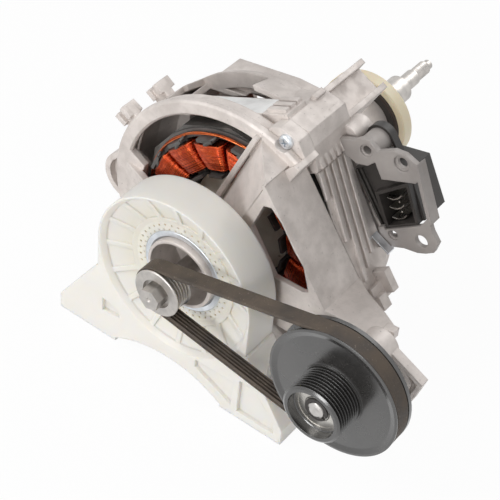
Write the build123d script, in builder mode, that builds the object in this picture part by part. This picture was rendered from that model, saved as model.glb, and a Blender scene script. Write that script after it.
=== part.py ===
from build123d import *
import math
import os

# Lengths are in millimetres. The shaft runs along Y: the belt side is at -Y and the fan side at +Y.
# X points to the relay pulley and Z points up. The origin lies under the shaft, on the underside of
# the front foot, half way through the foot's thickness.

# Shaft line and relay line
shaft_height = 88.0
relay_across = 134.0
relay_rise = 5.5
running_fit = 0.08

# Front foot
foot_radius = 61.5
foot_thick = 28.0
foot_half_base = 95.0
foot_toe = 13.0
foot_shoulder_half = 63.0
foot_shoulder_height = 61.0
foot_dish_radius = 57.6
foot_dish_depth = 11.0
foot_annulus_radius = 37.5
foot_pockets = 16
foot_rib = 4.0
arch_half = 45.0
arch_step = 2.5
arch_top = 16.0
dimple_radius = 0.75
dimple_depth = 0.8
dimple_count = 40
outer_dimple_ring = 34.9
inner_dimple_ring = 31.5
toe_hole_half_spacing = 80.0
toe_hole_radius = 3.5
toe_counterbore_radius = 9.0
toe_floor = 10.0

# Foot sleeve and bell spigot
sleeve_outer = 30.4
sleeve_proud = 0.3
spigot_outer = 25.5
spigot_inner = 23.2
spigot_reach = 21.0

# Ball bearings of the shaft, two alike
bearing_bore = 7.5
bearing_outer = 17.5
bearing_width = 11.0
race_wall = 2.8
ball_gap = 0.15
shield_thick = 0.5
shield_inset = 0.4
front_bearing_front = 24.0
rear_bearing_rear = 201.0
balls_per_bearing = 8

# Bells
web_front = 21.0
web_wall = 4.0
rim_front = 45.0
bell_parting = 59.0
rear_bell_front = 62.0
rim_inner = 87.0
rim_outer = 97.5
shell_inner = 91.0
shell_outer = 95.0
flank_angle = 37.2
flank_out = 80.2
flank_wall = 3.2
flank_top = -39.8
flank_bottom = 48.8
flank_rear = 59.0
arch_rear = 101.0
arch_inner = 80.0
housing_rear = 133.0
housing_wall = 4.0
neck_outer = 22.0
neck_rear = 208.0
hub_outer = 33.0
hub_rear = 37.0

# Stator and rotor
stator_front = 55.0
stator_rear = 94.0
stator_corner_radius = 76.5
stator_sides = 12
yoke_inner = 67.5
tooth_count = 15
tooth_start = 16.0
tooth_width = 9.0
winding_room = 74.0
winding_front = 44.6
winding_rear = 106.0
tooth_tip_inner = 39.5
tooth_tip_thick = 2.0
slot_opening = 3.0
insulator_thick = 1.5
air_gap = 0.7
rotor_front = 62.0
rotor_rear = 92.0
end_disc_thick = 1.0
rotor_bore = 8.5
pole_count = 10
magnet_width = 17.0
magnet_thick = 4.0
magnet_centre = 31.0

# Tooth windings
wire = 1.0
turn_pitch = 1.5
turns = 14
turn_bend = 3.0
winding_inner = 45.0
winding_half_width = 8.2
winding_flare = 0.171
lacing_ring = 70.9
lacing_wire_size = 2.2

# Shaft and motor pulley
hex_flats = 14.0
hex_front = -37.0
pulley_front = -29.6
pulley_length = 14.1
motor_ridge = 16.2
motor_flange = 17.3
front_shaft = 6.5
collar_outer = 10.4
collar_rear = 253.0
collar_seat = 6.9
rear_shaft = 6.25
rear_shaft_rear = 271.0
thread_outer = 5.3
thread_rear = 288.0
thread_pitch = 1.5
tip_outer = 3.8
tip_rear = 293.0

# Belt
groove_pitch = 2.34
groove_depth = 1.9
belt_ribs = 5
belt_front = -27.8
belt_back = 2.0
belt_gap = 0.3
rib_length = 1.5
rib_lean = 20.0

# Relay pulley
relay_ridge = 43.7
relay_disc = 45.8
relay_disc_front = -29.0
relay_disc_rear = -13.0
relay_lip = 1.0
relay_hub_front = -50.7
relay_hub_radius = 20.4
relay_hub_grooves = 9
relay_step = 21.6
relay_web = 4.0
relay_bore = 16.6
relay_bearing_outer = 16.0
relay_bearing_bore = 6.0
relay_bearing_front = -44.0
relay_bearing_width = 10.0
relay_race_wall = 2.4
relay_pin_end = -46.5
relay_boss_front = 9.0
relay_boss_radius = 12.0
relay_boss_rear = 26.0
arm_bottom = -27.0
arm_rim = 3.0
arm_lip = 3.0

# Rear mount
mount_front = 203.0
mount_width = 10.5
mount_inner_ring = 27.0
mount_rubber = 31.0
mount_outer = 35.6

# Clamp screws
screw_shank = 2.4
screw_head = 4.9
screw_head_height = 3.4
screw_clearance = 0.2

# Side bracket and electronics
bracket_front = 88.0
bracket_thick = 3.6
electronics_rear = 118.0

pulley_rear = pulley_front + pulley_length
foot_front = -foot_thick / 2
foot_rear = foot_thick / 2
annulus_y = foot_front + foot_dish_depth
spigot_front = foot_rear - spigot_reach
hub_front = foot_rear + 0.6
relay_height = shaft_height + relay_rise
stator_middle = (stator_front + stator_rear) / 2
rotor_outer = tooth_tip_inner - air_gap
shaft_axis = Axis((0, 0, shaft_height), (0, 1, 0))
relay_axis = Axis((relay_across, 0, relay_height), (0, 1, 0))


def facing(y, x=0.0, z=shaft_height):
    """A plane across the shaft line at depth y, whose extrusions go forwards."""
    return Plane(origin=(x, y, z), x_dir=(1, 0, 0), z_dir=(0, -1, 0))


def along(x=0.0, z=shaft_height):
    """The level plane through a line along Y, for profiles of radius and depth."""
    return Plane(origin=(x, 0, z), x_dir=(1, 0, 0), z_dir=(0, 0, 1))


def polar(radius, degrees):
    """A point at a radius and an angle from +X, in the plane across the shaft."""
    return (radius * math.cos(math.radians(degrees)), radius * math.sin(math.radians(degrees)))


def flank(out, down):
    """A point at a distance from the shaft line to the flank, and down along the flank."""
    c = math.cos(math.radians(flank_angle))
    s = math.sin(math.radians(flank_angle))
    return (out * c + down * s, out * s - down * c)


def chord(angle, out, side):
    """A point at a distance out along an angle, and to the right across it."""
    c = math.cos(math.radians(angle))
    s = math.sin(math.radians(angle))
    return (out * c + side * s, out * s - side * c)


def chord_slab(angle, out_low, out_high, side_low, side_high, front, rear, mode=Mode.ADD):
    """A box whose faces lie square to a direction out from the shaft line."""
    slab([
        chord(angle, out_low, side_low), chord(angle, out_high, side_low),
        chord(angle, out_high, side_high), chord(angle, out_low, side_high),
    ], front, rear, mode)


def turn(profile, x=0.0, z=shaft_height, mode=Mode.ADD):
    """Revolve a closed outline of radius and depth about a line along Y."""
    with BuildSketch(along(x, z)) as section:
        with BuildLine():
            Polyline(*profile, close=True)
        make_face()
    revolve(section.sketch, axis=Axis((x, 0, z), (0, 1, 0)), mode=mode)


def ring(inner, outer, front, rear, x=0.0, z=shaft_height, mode=Mode.ADD):
    """A plain ring about a line along Y, or a disc where the inner radius is zero."""
    with BuildSketch(facing(rear, x, z)) as section:
        Circle(outer)
        if inner > 0:
            Circle(inner, mode=Mode.SUBTRACT)
    extrude(section.sketch, amount=rear - front, mode=mode)


def slab(points, front, rear, mode=Mode.ADD):
    """Extrude a closed outline across the shaft line between two depths."""
    with BuildSketch(facing(rear)) as section:
        with BuildLine():
            Polyline(*points, close=True)
        make_face()
    extrude(section.sketch, amount=rear - front, mode=mode)


def block(centre, size, front, rear, degrees=0.0, mode=Mode.ADD):
    """A box between two depths, centred on a point across the shaft line and turned there."""
    with BuildSketch(facing(rear)) as section:
        with Locations(Location((centre[0], centre[1], 0), (0, 0, degrees))):
            Rectangle(size[0], size[1])
    extrude(section.sketch, amount=rear - front, mode=mode)


def bore(centre, radius, front, rear, mode=Mode.SUBTRACT):
    """A round hole or a round boss along Y."""
    with BuildSketch(facing(rear)) as section:
        with Locations(centre):
            Circle(radius)
    extrude(section.sketch, amount=rear - front, mode=mode)


def around(shape, count, start=0.0):
    """Copies of a shape spaced evenly about the shaft line, from an angle above +X."""
    return [shape.rotate(shaft_axis, -start - 360.0 * index / count) for index in range(count)]


def grooved(ridge, front, ribs, lead):
    """The outline points of a grooved band, from its front to its rear."""
    lean = groove_depth * math.tan(math.radians(rib_lean))
    half = groove_pitch / 2 - 0.15
    points = [(ridge, front - lead)]
    for index in range(ribs):
        middle = front + groove_pitch * (index + 0.5)
        points.append((ridge, middle - half))
        points.append((ridge - groove_depth, middle - half + lean))
        points.append((ridge - groove_depth, middle + half - lean))
        points.append((ridge, middle + half))
    points.append((ridge, front + groove_pitch * ribs + lead))
    return points


# Front foot: a thick plate with a round head, a dished front, a base with two toes and an arch.
with BuildPart() as pocket_ring:
    turn([
        (foot_dish_radius, foot_front),
        (foot_dish_radius, foot_front + foot_dish_depth * 0.42),
        (foot_annulus_radius + 3.5, annulus_y),
        (foot_annulus_radius + 3.5, foot_front),
    ])
    for index in range(foot_pockets):
        centre = polar(foot_dish_radius - 8, 5.0 + 360.0 * index / foot_pockets)
        block(centre, (foot_dish_radius, foot_rib), foot_front - 1, foot_rear,
              5.0 + 360.0 * index / foot_pockets, Mode.SUBTRACT)

with BuildPart() as rear_pocket_ring:
    ring(sleeve_outer + 5, foot_dish_radius - 1, foot_rear - 9, foot_rear)
    for index in range(foot_pockets):
        centre = polar(foot_dish_radius - 8, 5.0 + 360.0 * index / foot_pockets)
        block(centre, (foot_dish_radius, foot_rib), foot_front - 1, foot_rear + 1,
              5.0 + 360.0 * index / foot_pockets, Mode.SUBTRACT)

with BuildPart() as front_foot:
    with BuildSketch(facing(foot_rear)):
        Circle(foot_radius)
        with BuildLine():
            Polyline(
                (-foot_radius, 0),
                (-foot_radius, foot_shoulder_height - shaft_height),
                (-foot_shoulder_half, foot_shoulder_height - shaft_height),
                (-foot_half_base, foot_toe - shaft_height),
                (-foot_half_base, -shaft_height),
                (-arch_half, -shaft_height),
                (-arch_half, arch_step - shaft_height),
            )
            ThreePointArc(
                (-arch_half, arch_step - shaft_height),
                (0, arch_top - shaft_height),
                (arch_half, arch_step - shaft_height),
            )
            Polyline(
                (arch_half, arch_step - shaft_height),
                (arch_half, -shaft_height),
                (foot_half_base, -shaft_height),
                (foot_half_base, foot_toe - shaft_height),
                (foot_shoulder_half, foot_shoulder_height - shaft_height),
                (foot_radius, foot_shoulder_height - shaft_height),
                (foot_radius, 0),
                (-foot_radius, 0),
            )
        make_face()
    extrude(amount=foot_thick)
    turn([
        (0, foot_front - 1),
        (foot_radius - 1.2, foot_front - 1),
        (foot_radius - 1.2, foot_front),
        (foot_dish_radius, foot_front + foot_dish_depth * 0.33),
        (foot_annulus_radius, annulus_y),
        (0, annulus_y),
    ], mode=Mode.SUBTRACT)
    add(pocket_ring.part, mode=Mode.SUBTRACT)
    add(rear_pocket_ring.part, mode=Mode.SUBTRACT)
    ring(0, sleeve_outer, annulus_y - 1, foot_rear + 1, mode=Mode.SUBTRACT)
    # Two rings of dimples on the annulus
    with BuildSketch(facing(annulus_y + dimple_depth)):
        with PolarLocations(outer_dimple_ring, dimple_count):
            Circle(dimple_radius)
        with PolarLocations(inner_dimple_ring, dimple_count, 180.0 / dimple_count):
            Circle(dimple_radius * 0.8)
    extrude(amount=dimple_depth + 0.5, mode=Mode.SUBTRACT)
    # Sunk panels between ribs along the front of the base
    slab([
        (-42, arch_top - shaft_height + 8), (-foot_shoulder_half + 6, 22 - shaft_height),
        (-foot_shoulder_half + 6, 34 - shaft_height), (-42, 30 - shaft_height),
    ], foot_front - 1, foot_front + 3, Mode.SUBTRACT)
    slab([
        (23, arch_top - shaft_height + 7), (54, 8 - shaft_height),
        (54, 30 - shaft_height), (23, 30 - shaft_height),
    ], foot_front - 1, foot_front + 3, Mode.SUBTRACT)
    slab([
        (59, 6 - shaft_height), (foot_half_base - 6, 6 - shaft_height),
        (foot_half_base - 8, foot_toe + 4 - shaft_height), (70, 36 - shaft_height), (59, 36 - shaft_height),
    ], foot_front - 1, foot_front + 3, Mode.SUBTRACT)
    # Toe holes with deep counterbores from above
    with BuildSketch(Plane.XY.offset(toe_floor)):
        with Locations((-toe_hole_half_spacing, 0), (toe_hole_half_spacing, 0)):
            Circle(toe_counterbore_radius)
    extrude(amount=shaft_height, mode=Mode.SUBTRACT)
    with BuildSketch(Plane.XY.offset(-1)):
        with Locations((-toe_hole_half_spacing, 0), (toe_hole_half_spacing, 0)):
            Circle(toe_hole_radius)
    extrude(amount=toe_floor + 2, mode=Mode.SUBTRACT)

with BuildPart() as foot_sleeve:
    turn([
        (spigot_outer + running_fit, annulus_y + 1.2),
        (spigot_outer + running_fit + 1.0, annulus_y + 0.2),
        (spigot_outer + running_fit + 1.2, annulus_y - sleeve_proud),
        (sleeve_outer - 0.4, annulus_y - sleeve_proud),
        (sleeve_outer, annulus_y - sleeve_proud + 0.4),
        (sleeve_outer, foot_rear),
        (spigot_outer + running_fit, foot_rear),
    ])

# Front bell: spigot, hub with the bearing seat, sloped spokes, rim, flat flank and arm.
spoke_lean = 68.2
spoke_front_line = 6.8
spoke_rear_line = -17.4
spoke_wall = 5.6
clamp_radius = 103.0
clamp_angles = (205.0, 325.0)
front_lug = (103.0, 154.0)
rear_lug = (101.0, 147.0)
low_flat = 84.0
low_flat_angles = (250.0, 270.0, 290.0)
casting_wall = 3.5
boss_place = (33.0, 94.0)
arm_place = (relay_across, relay_rise)
window = (
    (32.8, 42.5), (40.4, 64.9), (46.0, 66.7), (54.6, 59.3), (66.1, 43.0),
    (73.9, 34.9), (80.0, 16.6), (75.5, 13.6), (53.8, 12.7),
)

with BuildPart() as rim_band:
    turn([
        (rim_inner, rim_front + 1.5),
        (rim_inner + 1.5, rim_front),
        (rim_outer - 1.5, rim_front),
        (rim_outer, rim_front + 1.5),
        (rim_outer, rim_front + 5),
        (shell_outer, rim_front + 8),
        (shell_outer, bell_parting),
        (shell_inner, bell_parting),
        (shell_inner, rim_front + 5),
        (rim_inner, rim_front + 4),
    ])
    # The flat flank takes the rim's place on the relay side
    slab([
        flank(flank_out - flank_wall, flank_top), flank(flank_out + 30, flank_top),
        flank(flank_out + 30, flank_bottom + 4), flank(flank_out - flank_wall, flank_bottom + 4),
    ], rim_front - 1, bell_parting + 1, Mode.SUBTRACT)

c_lean = math.cos(math.radians(spoke_lean))
s_lean = math.sin(math.radians(spoke_lean))


def spoke_point(reach, side):
    """A point at a reach along the top spoke and a distance to its right."""
    return (reach * c_lean + side * s_lean, reach * s_lean - side * c_lean)


def sloped_spoke(degrees, front_side, rear_side, front_back, rear_back, start, length):
    """A sloped face along a spoke, from the web back to the rim, and the depths of its two back edges."""
    direction = (math.cos(math.radians(degrees)), 0, math.sin(math.radians(degrees)))
    start_point = (direction[0] * start, 0, shaft_height + direction[2] * start)
    side = (math.sin(math.radians(degrees)), 0, -math.cos(math.radians(degrees)))
    with BuildSketch(Plane(origin=start_point, x_dir=side, z_dir=direction)) as section:
        with BuildLine():
            Polyline(
                (front_side, web_front), (rear_side, rim_front),
                (rear_side, rear_back), (front_side, front_back),
                close=True,
            )
        make_face()
    extrude(section.sketch, amount=length)


def raked_spoke(degrees, half_width, start, end, wall):
    """A flat spoke that rakes from the hub's web back to the rim, wider at the rim."""
    direction = (math.cos(math.radians(degrees)), 0, math.sin(math.radians(degrees)))
    across = Vector(*direction).cross(Vector(0, 1, 0))
    place = Plane(origin=(0, 0, shaft_height), x_dir=direction, z_dir=across)
    with BuildSketch(place) as section:
        with BuildLine():
            Polyline(
                (start, web_front), (end, rim_front), (end, rim_front + wall), (start, web_front + wall),
                close=True,
            )
        make_face()
    extrude(section.sketch, amount=half_width, both=True)
    rim_corners = [
        (end + 2, -2.1 * half_width), (end + 2, 2.1 * half_width),
        (end - 22, half_width), (end - 22, -half_width),
    ]
    c = direction[0]
    s = direction[2]
    slab([(r * c - t * s, r * s + t * c) for r, t in rim_corners], rim_front, rim_front + wall)


def low_flats(front, rear):
    """Three flats in place of the round underside, so that the castings clear the floor."""
    for angle in low_flat_angles:
        slab([
            chord(angle, low_flat, -50), chord(angle, low_flat + 40, -50),
            chord(angle, low_flat + 40, 50), chord(angle, low_flat, 50),
        ], web_front, housing_rear, Mode.SUBTRACT)
    inner = low_flat - casting_wall
    half = math.tan(math.radians(10))
    for angle in low_flat_angles:
        left = half if angle < 290 else math.tan(math.acos(low_flat / (rim_outer - 2)))
        right = half if angle > 250 else math.tan(math.acos(low_flat / (rim_outer - 2)))
        slab([
            chord(angle, inner, -inner * left), chord(angle, low_flat, -low_flat * left),
            chord(angle, low_flat, low_flat * right), chord(angle, inner, inner * right),
        ], front, rear)


arm_outline = (
    flank(flank_out, flank_bottom), (137.0, 14.0), (169.4, -1.8), (164.2, -21.1), (150.0, arm_bottom),
    (60.0, arm_bottom),
)

with BuildPart() as front_bell:
    turn([
        (spigot_inner, spigot_front),
        (spigot_outer - 0.5, spigot_front),
        (spigot_outer, spigot_front + 0.5),
        (spigot_outer, hub_front),
        (hub_outer, hub_front),
        (hub_outer, web_front + web_wall),
        (bearing_outer + 5, hub_rear),
        (bearing_outer, hub_rear),
        (bearing_outer, front_bearing_front),
        (bearing_outer - 2.6, front_bearing_front),
        (bearing_outer - 2.6, web_front),
        (spigot_inner, web_front - 3),
    ])
    # Web on the relay side, between the top spoke, the flank and the arm
    slab([
        spoke_point(24, spoke_front_line), (39.8, 80.3), flank(flank_out, flank_top),
        *arm_outline, (24, arm_bottom + 8),
    ], web_front, web_front + web_wall)
    # Top spoke: a face that slopes back to the rib at its left edge
    sloped_spoke(spoke_lean, spoke_front_line, spoke_rear_line, web_front + spoke_wall, rim_front + spoke_wall,
                 24.0, 67.0)
    with BuildSketch(facing(rim_front + 7)) as rib_outline:
        with BuildLine():
            Polyline(
                spoke_point(20, spoke_rear_line), spoke_point(92, spoke_rear_line),
                spoke_point(92, spoke_rear_line - 3.5), spoke_point(20, spoke_rear_line - 3.5), close=True,
            )
        make_face()
    extrude(rib_outline.sketch, amount=11)
    # Left spoke and two lower spokes, mostly behind the foot
    for angle in (180.0, 250.0, 305.0):
        raked_spoke(angle, 12.0, 24.0, 88.0, web_wall + 1)
    # Clear the inside behind the rim, then add the rim
    ring(0, shell_inner, rim_front + 5, bell_parting + 1, mode=Mode.SUBTRACT)
    add(rim_band.part)
    # End wall behind the outer end of the sloped face
    sloped_spoke(spoke_lean, spoke_front_line, spoke_rear_line, rim_front + 7, rim_front + 7, 87.5, 3.5)
    # Flat flank
    slab([
        flank(flank_out - flank_wall, flank_top - 1), flank(flank_out, flank_top - 1),
        flank(flank_out, flank_bottom), flank(flank_out - flank_wall, flank_bottom),
    ], web_front, flank_rear)
    # Top wall of the arm, whose depth falls towards the axle, and its bottom wall
    slab([
        flank(flank_out, flank_bottom), (137, 14), (136, 10), flank(flank_out - flank_wall - 1, flank_bottom - 1),
    ], web_front, flank_rear)
    with BuildSketch(Plane.XY.offset(shaft_height)) as arm_taper:
        with BuildLine():
            Polyline((95, flank_rear), (106, 51), (125, 41.5), (136, 35), (150, 35), (150, 62), (95, 62), close=True)
        make_face()
    extrude(arm_taper.sketch, amount=30, mode=Mode.SUBTRACT)
    slab([(131, 8), (139, 8), (139, 15), (131, 14)], 29, 35)
    slab([
        (36, arm_bottom), (150, arm_bottom), (150, arm_bottom + 4), (36, arm_bottom + 4),
    ], web_front, rim_front)
    # Raised lip round the end of the arm, the axle boss and a pad beside it
    with BuildSketch(facing(web_front)) as arm_end:
        with BuildLine():
            Polyline((110, 11.2), *arm_outline[1:5], (110, arm_bottom), close=True)
        make_face()
        offset(amount=-arm_rim, kind=Kind.INTERSECTION, mode=Mode.SUBTRACT)
    extrude(arm_end.sketch, amount=arm_lip)
    slab([(150, 3), (157, 1), (162, -6), (160, -18), (148, -20)], web_front - arm_lip, web_front)
    bore(arm_place, relay_boss_radius, relay_boss_front, relay_boss_rear, Mode.ADD)
    # Corner block under the clamp screw, with the flat pad beside it
    slab([
        spoke_point(84, spoke_rear_line - 3.5), (20, 97.5), (27, 101), (41, 98), (47, 88), (39.8, 80.3),
    ], rim_front + 6, rear_bell_front - 0.2)
    slab([
        (39.8, 80.3), (47, 88), (50.5, 86), flank(flank_out, flank_top + 8),
    ], web_front + 20, rear_bell_front - 0.2)
    # Rounded lug beside the left spoke
    bore((-90.0, -8.0), 19.8, bell_parting - 10, bell_parting, Mode.ADD)
    bore((-90.0, -8.0), 15.5, bell_parting - 11, bell_parting - 5, Mode.SUBTRACT)
    # Slotted lug on the upper left
    reach, angle = front_lug
    block(polar(reach - 4, angle), (16, 13), bell_parting - 9, bell_parting - 3, angle)
    for turned in (-2.3, 2.3):
        block(polar(reach + 1, angle + turned), (9, 4), bell_parting - 12, bell_parting, angle)
    # Clamp lugs, and flats underneath
    for angle in clamp_angles:
        block(polar(clamp_radius - 6, angle), (20, 12), bell_parting - 8, bell_parting, angle)
        bore(polar(clamp_radius, angle), 6.0, bell_parting - 10, bell_parting, Mode.ADD)
    low_flats(rim_front, bell_parting)
    # Openings
    with BuildSketch(facing(web_front + web_wall)) as window_outline:
        with BuildLine():
            Polyline(*window, close=True)
        make_face()
    extrude(window_outline.sketch, amount=web_wall + 2, mode=Mode.SUBTRACT)
    ring(0, spigot_inner, spigot_front - 1, web_front - 3, mode=Mode.SUBTRACT)
    ring(0, bearing_outer - 2.6, web_front - 4, front_bearing_front + 1, mode=Mode.SUBTRACT)
    ring(0, bearing_outer, front_bearing_front, rim_front + 20, mode=Mode.SUBTRACT)
    ring(spigot_outer, hub_outer + 20, spigot_front - 1, hub_front, mode=Mode.SUBTRACT)
    # Axle and screw holes
    bore(arm_place, relay_bearing_bore, relay_boss_front - 1, relay_boss_rear + 1)
    for angle in clamp_angles:
        bore(polar(clamp_radius, angle), screw_shank, bell_parting - 12, bell_parting + 1)
    bore(boss_place, screw_shank, rim_front, rear_bell_front + 1)
    bore(boss_place, screw_head + 0.4, rim_front - 1, rim_front + 6)
    # Room for the windings and for the corners of the stator stack
    ring(0, winding_room, winding_front, bell_parting + 1, mode=Mode.SUBTRACT)
    ring(0, stator_corner_radius + 0.5, stator_front - 2.5, bell_parting + 1, mode=Mode.SUBTRACT)

# Rear bell: shell behind the parting line, ribbed flank, label bridge, arch, rear housing and neck.
bridge_angle = 115.8
bridge_out = 82.0
bridge_left = -36.4
bridge_right = 66.0
bridge_rear = 81.0
label_right = 46.0
top_window_right = 26.2
rear_outline = (
    (-63.0, 61.4), (-13.6, 70.5), (2.6, 70.8), (38, 62), (60, 40), (66, 18),
    (66, -30), (44, -62), (-44, -62), (-72, -34), (-80, 26),
)
channel_angle = 62.6
channel_top = 88.0
channel_floor = 80.0
channel_left = -26.3
channel_right = -0.8
channel_front = 96.0
channel_rear = 156.0
flank_rib_count = 5
flank_rib_pitch = 6.6
flank_rib_front = 66.0
flank_rib_slope = 0.22


def flank_plane(out):
    """A plane square to the flank direction: down the flank, and along the shaft."""
    c = math.cos(math.radians(flank_angle))
    s = math.sin(math.radians(flank_angle))
    return Plane(origin=(out * c, 0, shaft_height + out * s), x_dir=(s, 0, -c), z_dir=(c, 0, s))


with BuildPart() as housing_hollow:
    with BuildSketch(facing(housing_rear - housing_wall)):
        with BuildLine():
            Polyline(*rear_outline, close=True)
        make_face()
        offset(amount=-housing_wall, kind=Kind.INTERSECTION, mode=Mode.REPLACE)
    extrude(amount=housing_rear - housing_wall - arch_rear + 8)

with BuildPart() as rear_bell:
    # Shell, arch and the plate that joins the arch to the housing
    turn([
        (shell_inner, rear_bell_front), (shell_outer, rear_bell_front), (shell_outer, bridge_rear),
        (shell_inner, arch_rear), (arch_inner, arch_rear), (arch_inner, arch_rear - 4),
        (shell_inner - 4, arch_rear - 4), (shell_inner, bridge_rear),
    ])
    ring(50, shell_inner - 2, arch_rear, arch_rear + casting_wall)
    # Flank side and label bridge side are flat
    chord_slab(flank_angle, flank_out - flank_wall + 1.4, 110, -60, 80, rear_bell_front - 1, winding_rear,
               Mode.SUBTRACT)
    chord_slab(bridge_angle, bridge_out, 110, bridge_left, bridge_right, rear_bell_front - 1, bridge_rear,
               Mode.SUBTRACT)
    chord_slab(bridge_angle, 70, 110, bridge_left + 4, top_window_right, bridge_rear, arch_rear - 4,
               Mode.SUBTRACT)
    # Rear housing
    with BuildSketch(facing(housing_rear)) as housing_outline:
        with BuildLine():
            Polyline(*rear_outline, close=True)
        make_face()
    extrude(housing_outline.sketch, amount=housing_rear - arch_rear + 4)
    add(housing_hollow.part, mode=Mode.SUBTRACT)
    # Side wall from the housing's left corner forwards to the shell
    slab([(-63.0, 61.4), (-59.5, 58.5), (-76, 36), (-80, 38)], bridge_rear, arch_rear)
    # Label bridge
    chord_slab(bridge_angle, bridge_out - 4, bridge_out, bridge_left, label_right,
               rear_bell_front - 1.5, bridge_rear)
    chord_slab(bridge_angle, bridge_out - 4, bridge_out, label_right - 1, bridge_right,
               rear_bell_front, bridge_rear)
    # Fins beside the label
    for index in range(3):
        front = rear_bell_front + 2.2 + 6.2 * index
        chord_slab(bridge_angle, bridge_out - 1, bridge_out + 2.2, 49.0, 64.0, front, front + 4.2)
    # Head block with short upright ridges
    slab([
        flank(72, -26), flank(84, -26), flank(86, -31), (46, 89), (41, 98.5), (26, 100.5),
        (20, 96), (8, 92), (10, 84), (30, 70),
    ], rear_bell_front, arch_rear)
    for index in range(5):
        front = rear_bell_front + 3.0 + 5.6 * index
        chord_slab(flank_angle, 82, 87.2, -38, -27, front, front + 3.0)
    # Two tabs at the lower end of the flank
    chord_slab(flank_angle, 72, 89, 53, 69, 73, 79)
    chord_slab(flank_angle, 72, 86, 66, 76, rear_bell_front, 70)
    chord_slab(flank_angle, 70, 82, 60, 72, rear_bell_front, 82)
    # Slotted lug on the upper left
    reach, angle = rear_lug
    block(polar(reach - 4, angle), (16, 13), rear_bell_front + 10, rear_bell_front + 17, angle)
    for turned in (-2.5, 2.5):
        block(polar(reach + 2, angle + turned), (8, 4), rear_bell_front + 8, rear_bell_front + 21, angle)
    # Clamp lugs, and flats underneath
    for angle in clamp_angles:
        block(polar(clamp_radius - 6, angle), (20, 12), rear_bell_front, rear_bell_front + 9, angle)
        bore(polar(clamp_radius, angle), 6.0, rear_bell_front, rear_bell_front + 11, Mode.ADD)
    low_flats(rear_bell_front, arch_rear)
    # Room for the windings and for the stator stack
    ring(0, arch_inner, rear_bell_front - 2, arch_rear - 4, mode=Mode.SUBTRACT)
    ring(0, winding_room, rear_bell_front - 2, winding_rear, mode=Mode.SUBTRACT)
    # Ribbed flank: a wall with long ribs that run slightly towards the belt side
    with BuildSketch(flank_plane(flank_out - flank_wall)) as flank_wall_outline:
        with BuildLine():
            Polyline((-34, 66), (-10, 65), (8, 61), (66, 61), (66, 76), (50, 92), (12, 95), (-34, 100), close=True)
        make_face()
    extrude(flank_wall_outline.sketch, amount=1.4)
    with BuildSketch(flank_plane(flank_out - flank_wall + 1.4)) as rib_outlines:
        for index in range(flank_rib_count):
            start = flank_rib_front + flank_rib_pitch * index
            end = 66.0 - 6.0 * index
            fall = flank_rib_slope * (end + 24)
            if start - fall < rear_bell_front:
                end = (start - rear_bell_front) / flank_rib_slope - 24
                fall = start - rear_bell_front
            with BuildLine():
                Polyline(
                    (-24, start), (end, start - fall), (end, start + 3.2 - fall), (-24, start + 3.4), close=True,
                )
            make_face()
    extrude(rib_outlines.sketch, amount=2.6)
    # Clamp tabs on the head block, and the rounded block behind it
    chord_slab(72.0, 94, 106, -9, -5, arch_rear - 13, arch_rear - 3)
    chord_slab(72.0, 94, 106, 5, 9, arch_rear - 13, arch_rear - 3)
    bore((49.5, 79.0), 8.0, arch_rear - 6, arch_rear + 11, Mode.ADD)
    # Channel bracket behind the head block: a floor between two walls
    chord_slab(channel_angle, channel_floor - 4, channel_floor, channel_left, channel_right,
               channel_front, channel_rear)
    chord_slab(channel_angle, channel_floor - 12, channel_top, channel_left, channel_left + 4,
               channel_front, channel_rear)
    chord_slab(channel_angle, channel_floor - 5, channel_top, channel_right - 4, channel_right,
               channel_front, channel_rear)
    chord_slab(channel_angle, channel_floor - 24, channel_floor, channel_right - 4, channel_right,
               winding_rear, channel_rear)
    slab([chord(channel_angle, 66, channel_left), chord(channel_angle, channel_floor, channel_left),
          chord(channel_angle, channel_floor, channel_right), chord(channel_angle, 66, channel_right)],
         winding_rear, housing_rear)
    chord_slab(channel_angle, channel_floor, channel_top + 10, channel_left + 4, channel_right - 4,
               arch_rear, channel_rear + 1, Mode.SUBTRACT)
    # Neck with four gussets
    ring(0, neck_outer, housing_rear - housing_wall, neck_rear)
    turn([
        (neck_outer - 1, housing_rear), (neck_outer + 16, housing_rear), (neck_outer, housing_rear + 22),
        (neck_outer - 1, housing_rear + 22),
    ])
    chord_slab(channel_angle, 18, channel_floor - 2, -14, -10, housing_rear, channel_rear)
    for angle in (150.0, 240.0, 330.0):
        chord_slab(angle, 18, 50, -2, 2, housing_rear, housing_rear + 26)
    # Inside of the neck: clear bore for the shaft and the bearing seat
    ring(0, bearing_outer - 2.6, housing_rear - 10, neck_rear + 1, mode=Mode.SUBTRACT)
    ring(0, bearing_outer, rear_bearing_rear - bearing_width, neck_rear + 1, mode=Mode.SUBTRACT)
    ring(0, bearing_outer, housing_rear - 10, rear_bearing_rear - bearing_width - 3, mode=Mode.SUBTRACT)
    # Openings through the rear face of the housing
    slab([(-50, 52), (-14, 62), (-14, 34), (-44, 30)], housing_rear - 5, housing_rear + 1, Mode.SUBTRACT)
    slab([(-50, -52), (-14, -54), (-14, -30), (-58, -30)], housing_rear - 5, housing_rear + 1, Mode.SUBTRACT)
    slab([(36, -50), (14, -54), (14, -32), (50, -26)], housing_rear - 5, housing_rear + 1, Mode.SUBTRACT)
    # Screw holes
    for angle in clamp_angles:
        bore(polar(clamp_radius, angle), screw_shank, rear_bell_front - 1, rear_bell_front + 12)
    bore(boss_place, screw_shank, rear_bell_front - 1, rear_bell_front + 16)
    # Room for the corners of the stator stack
    ring(0, stator_corner_radius + 0.3, rear_bell_front - 2, stator_rear + 0.5, mode=Mode.SUBTRACT)

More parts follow.
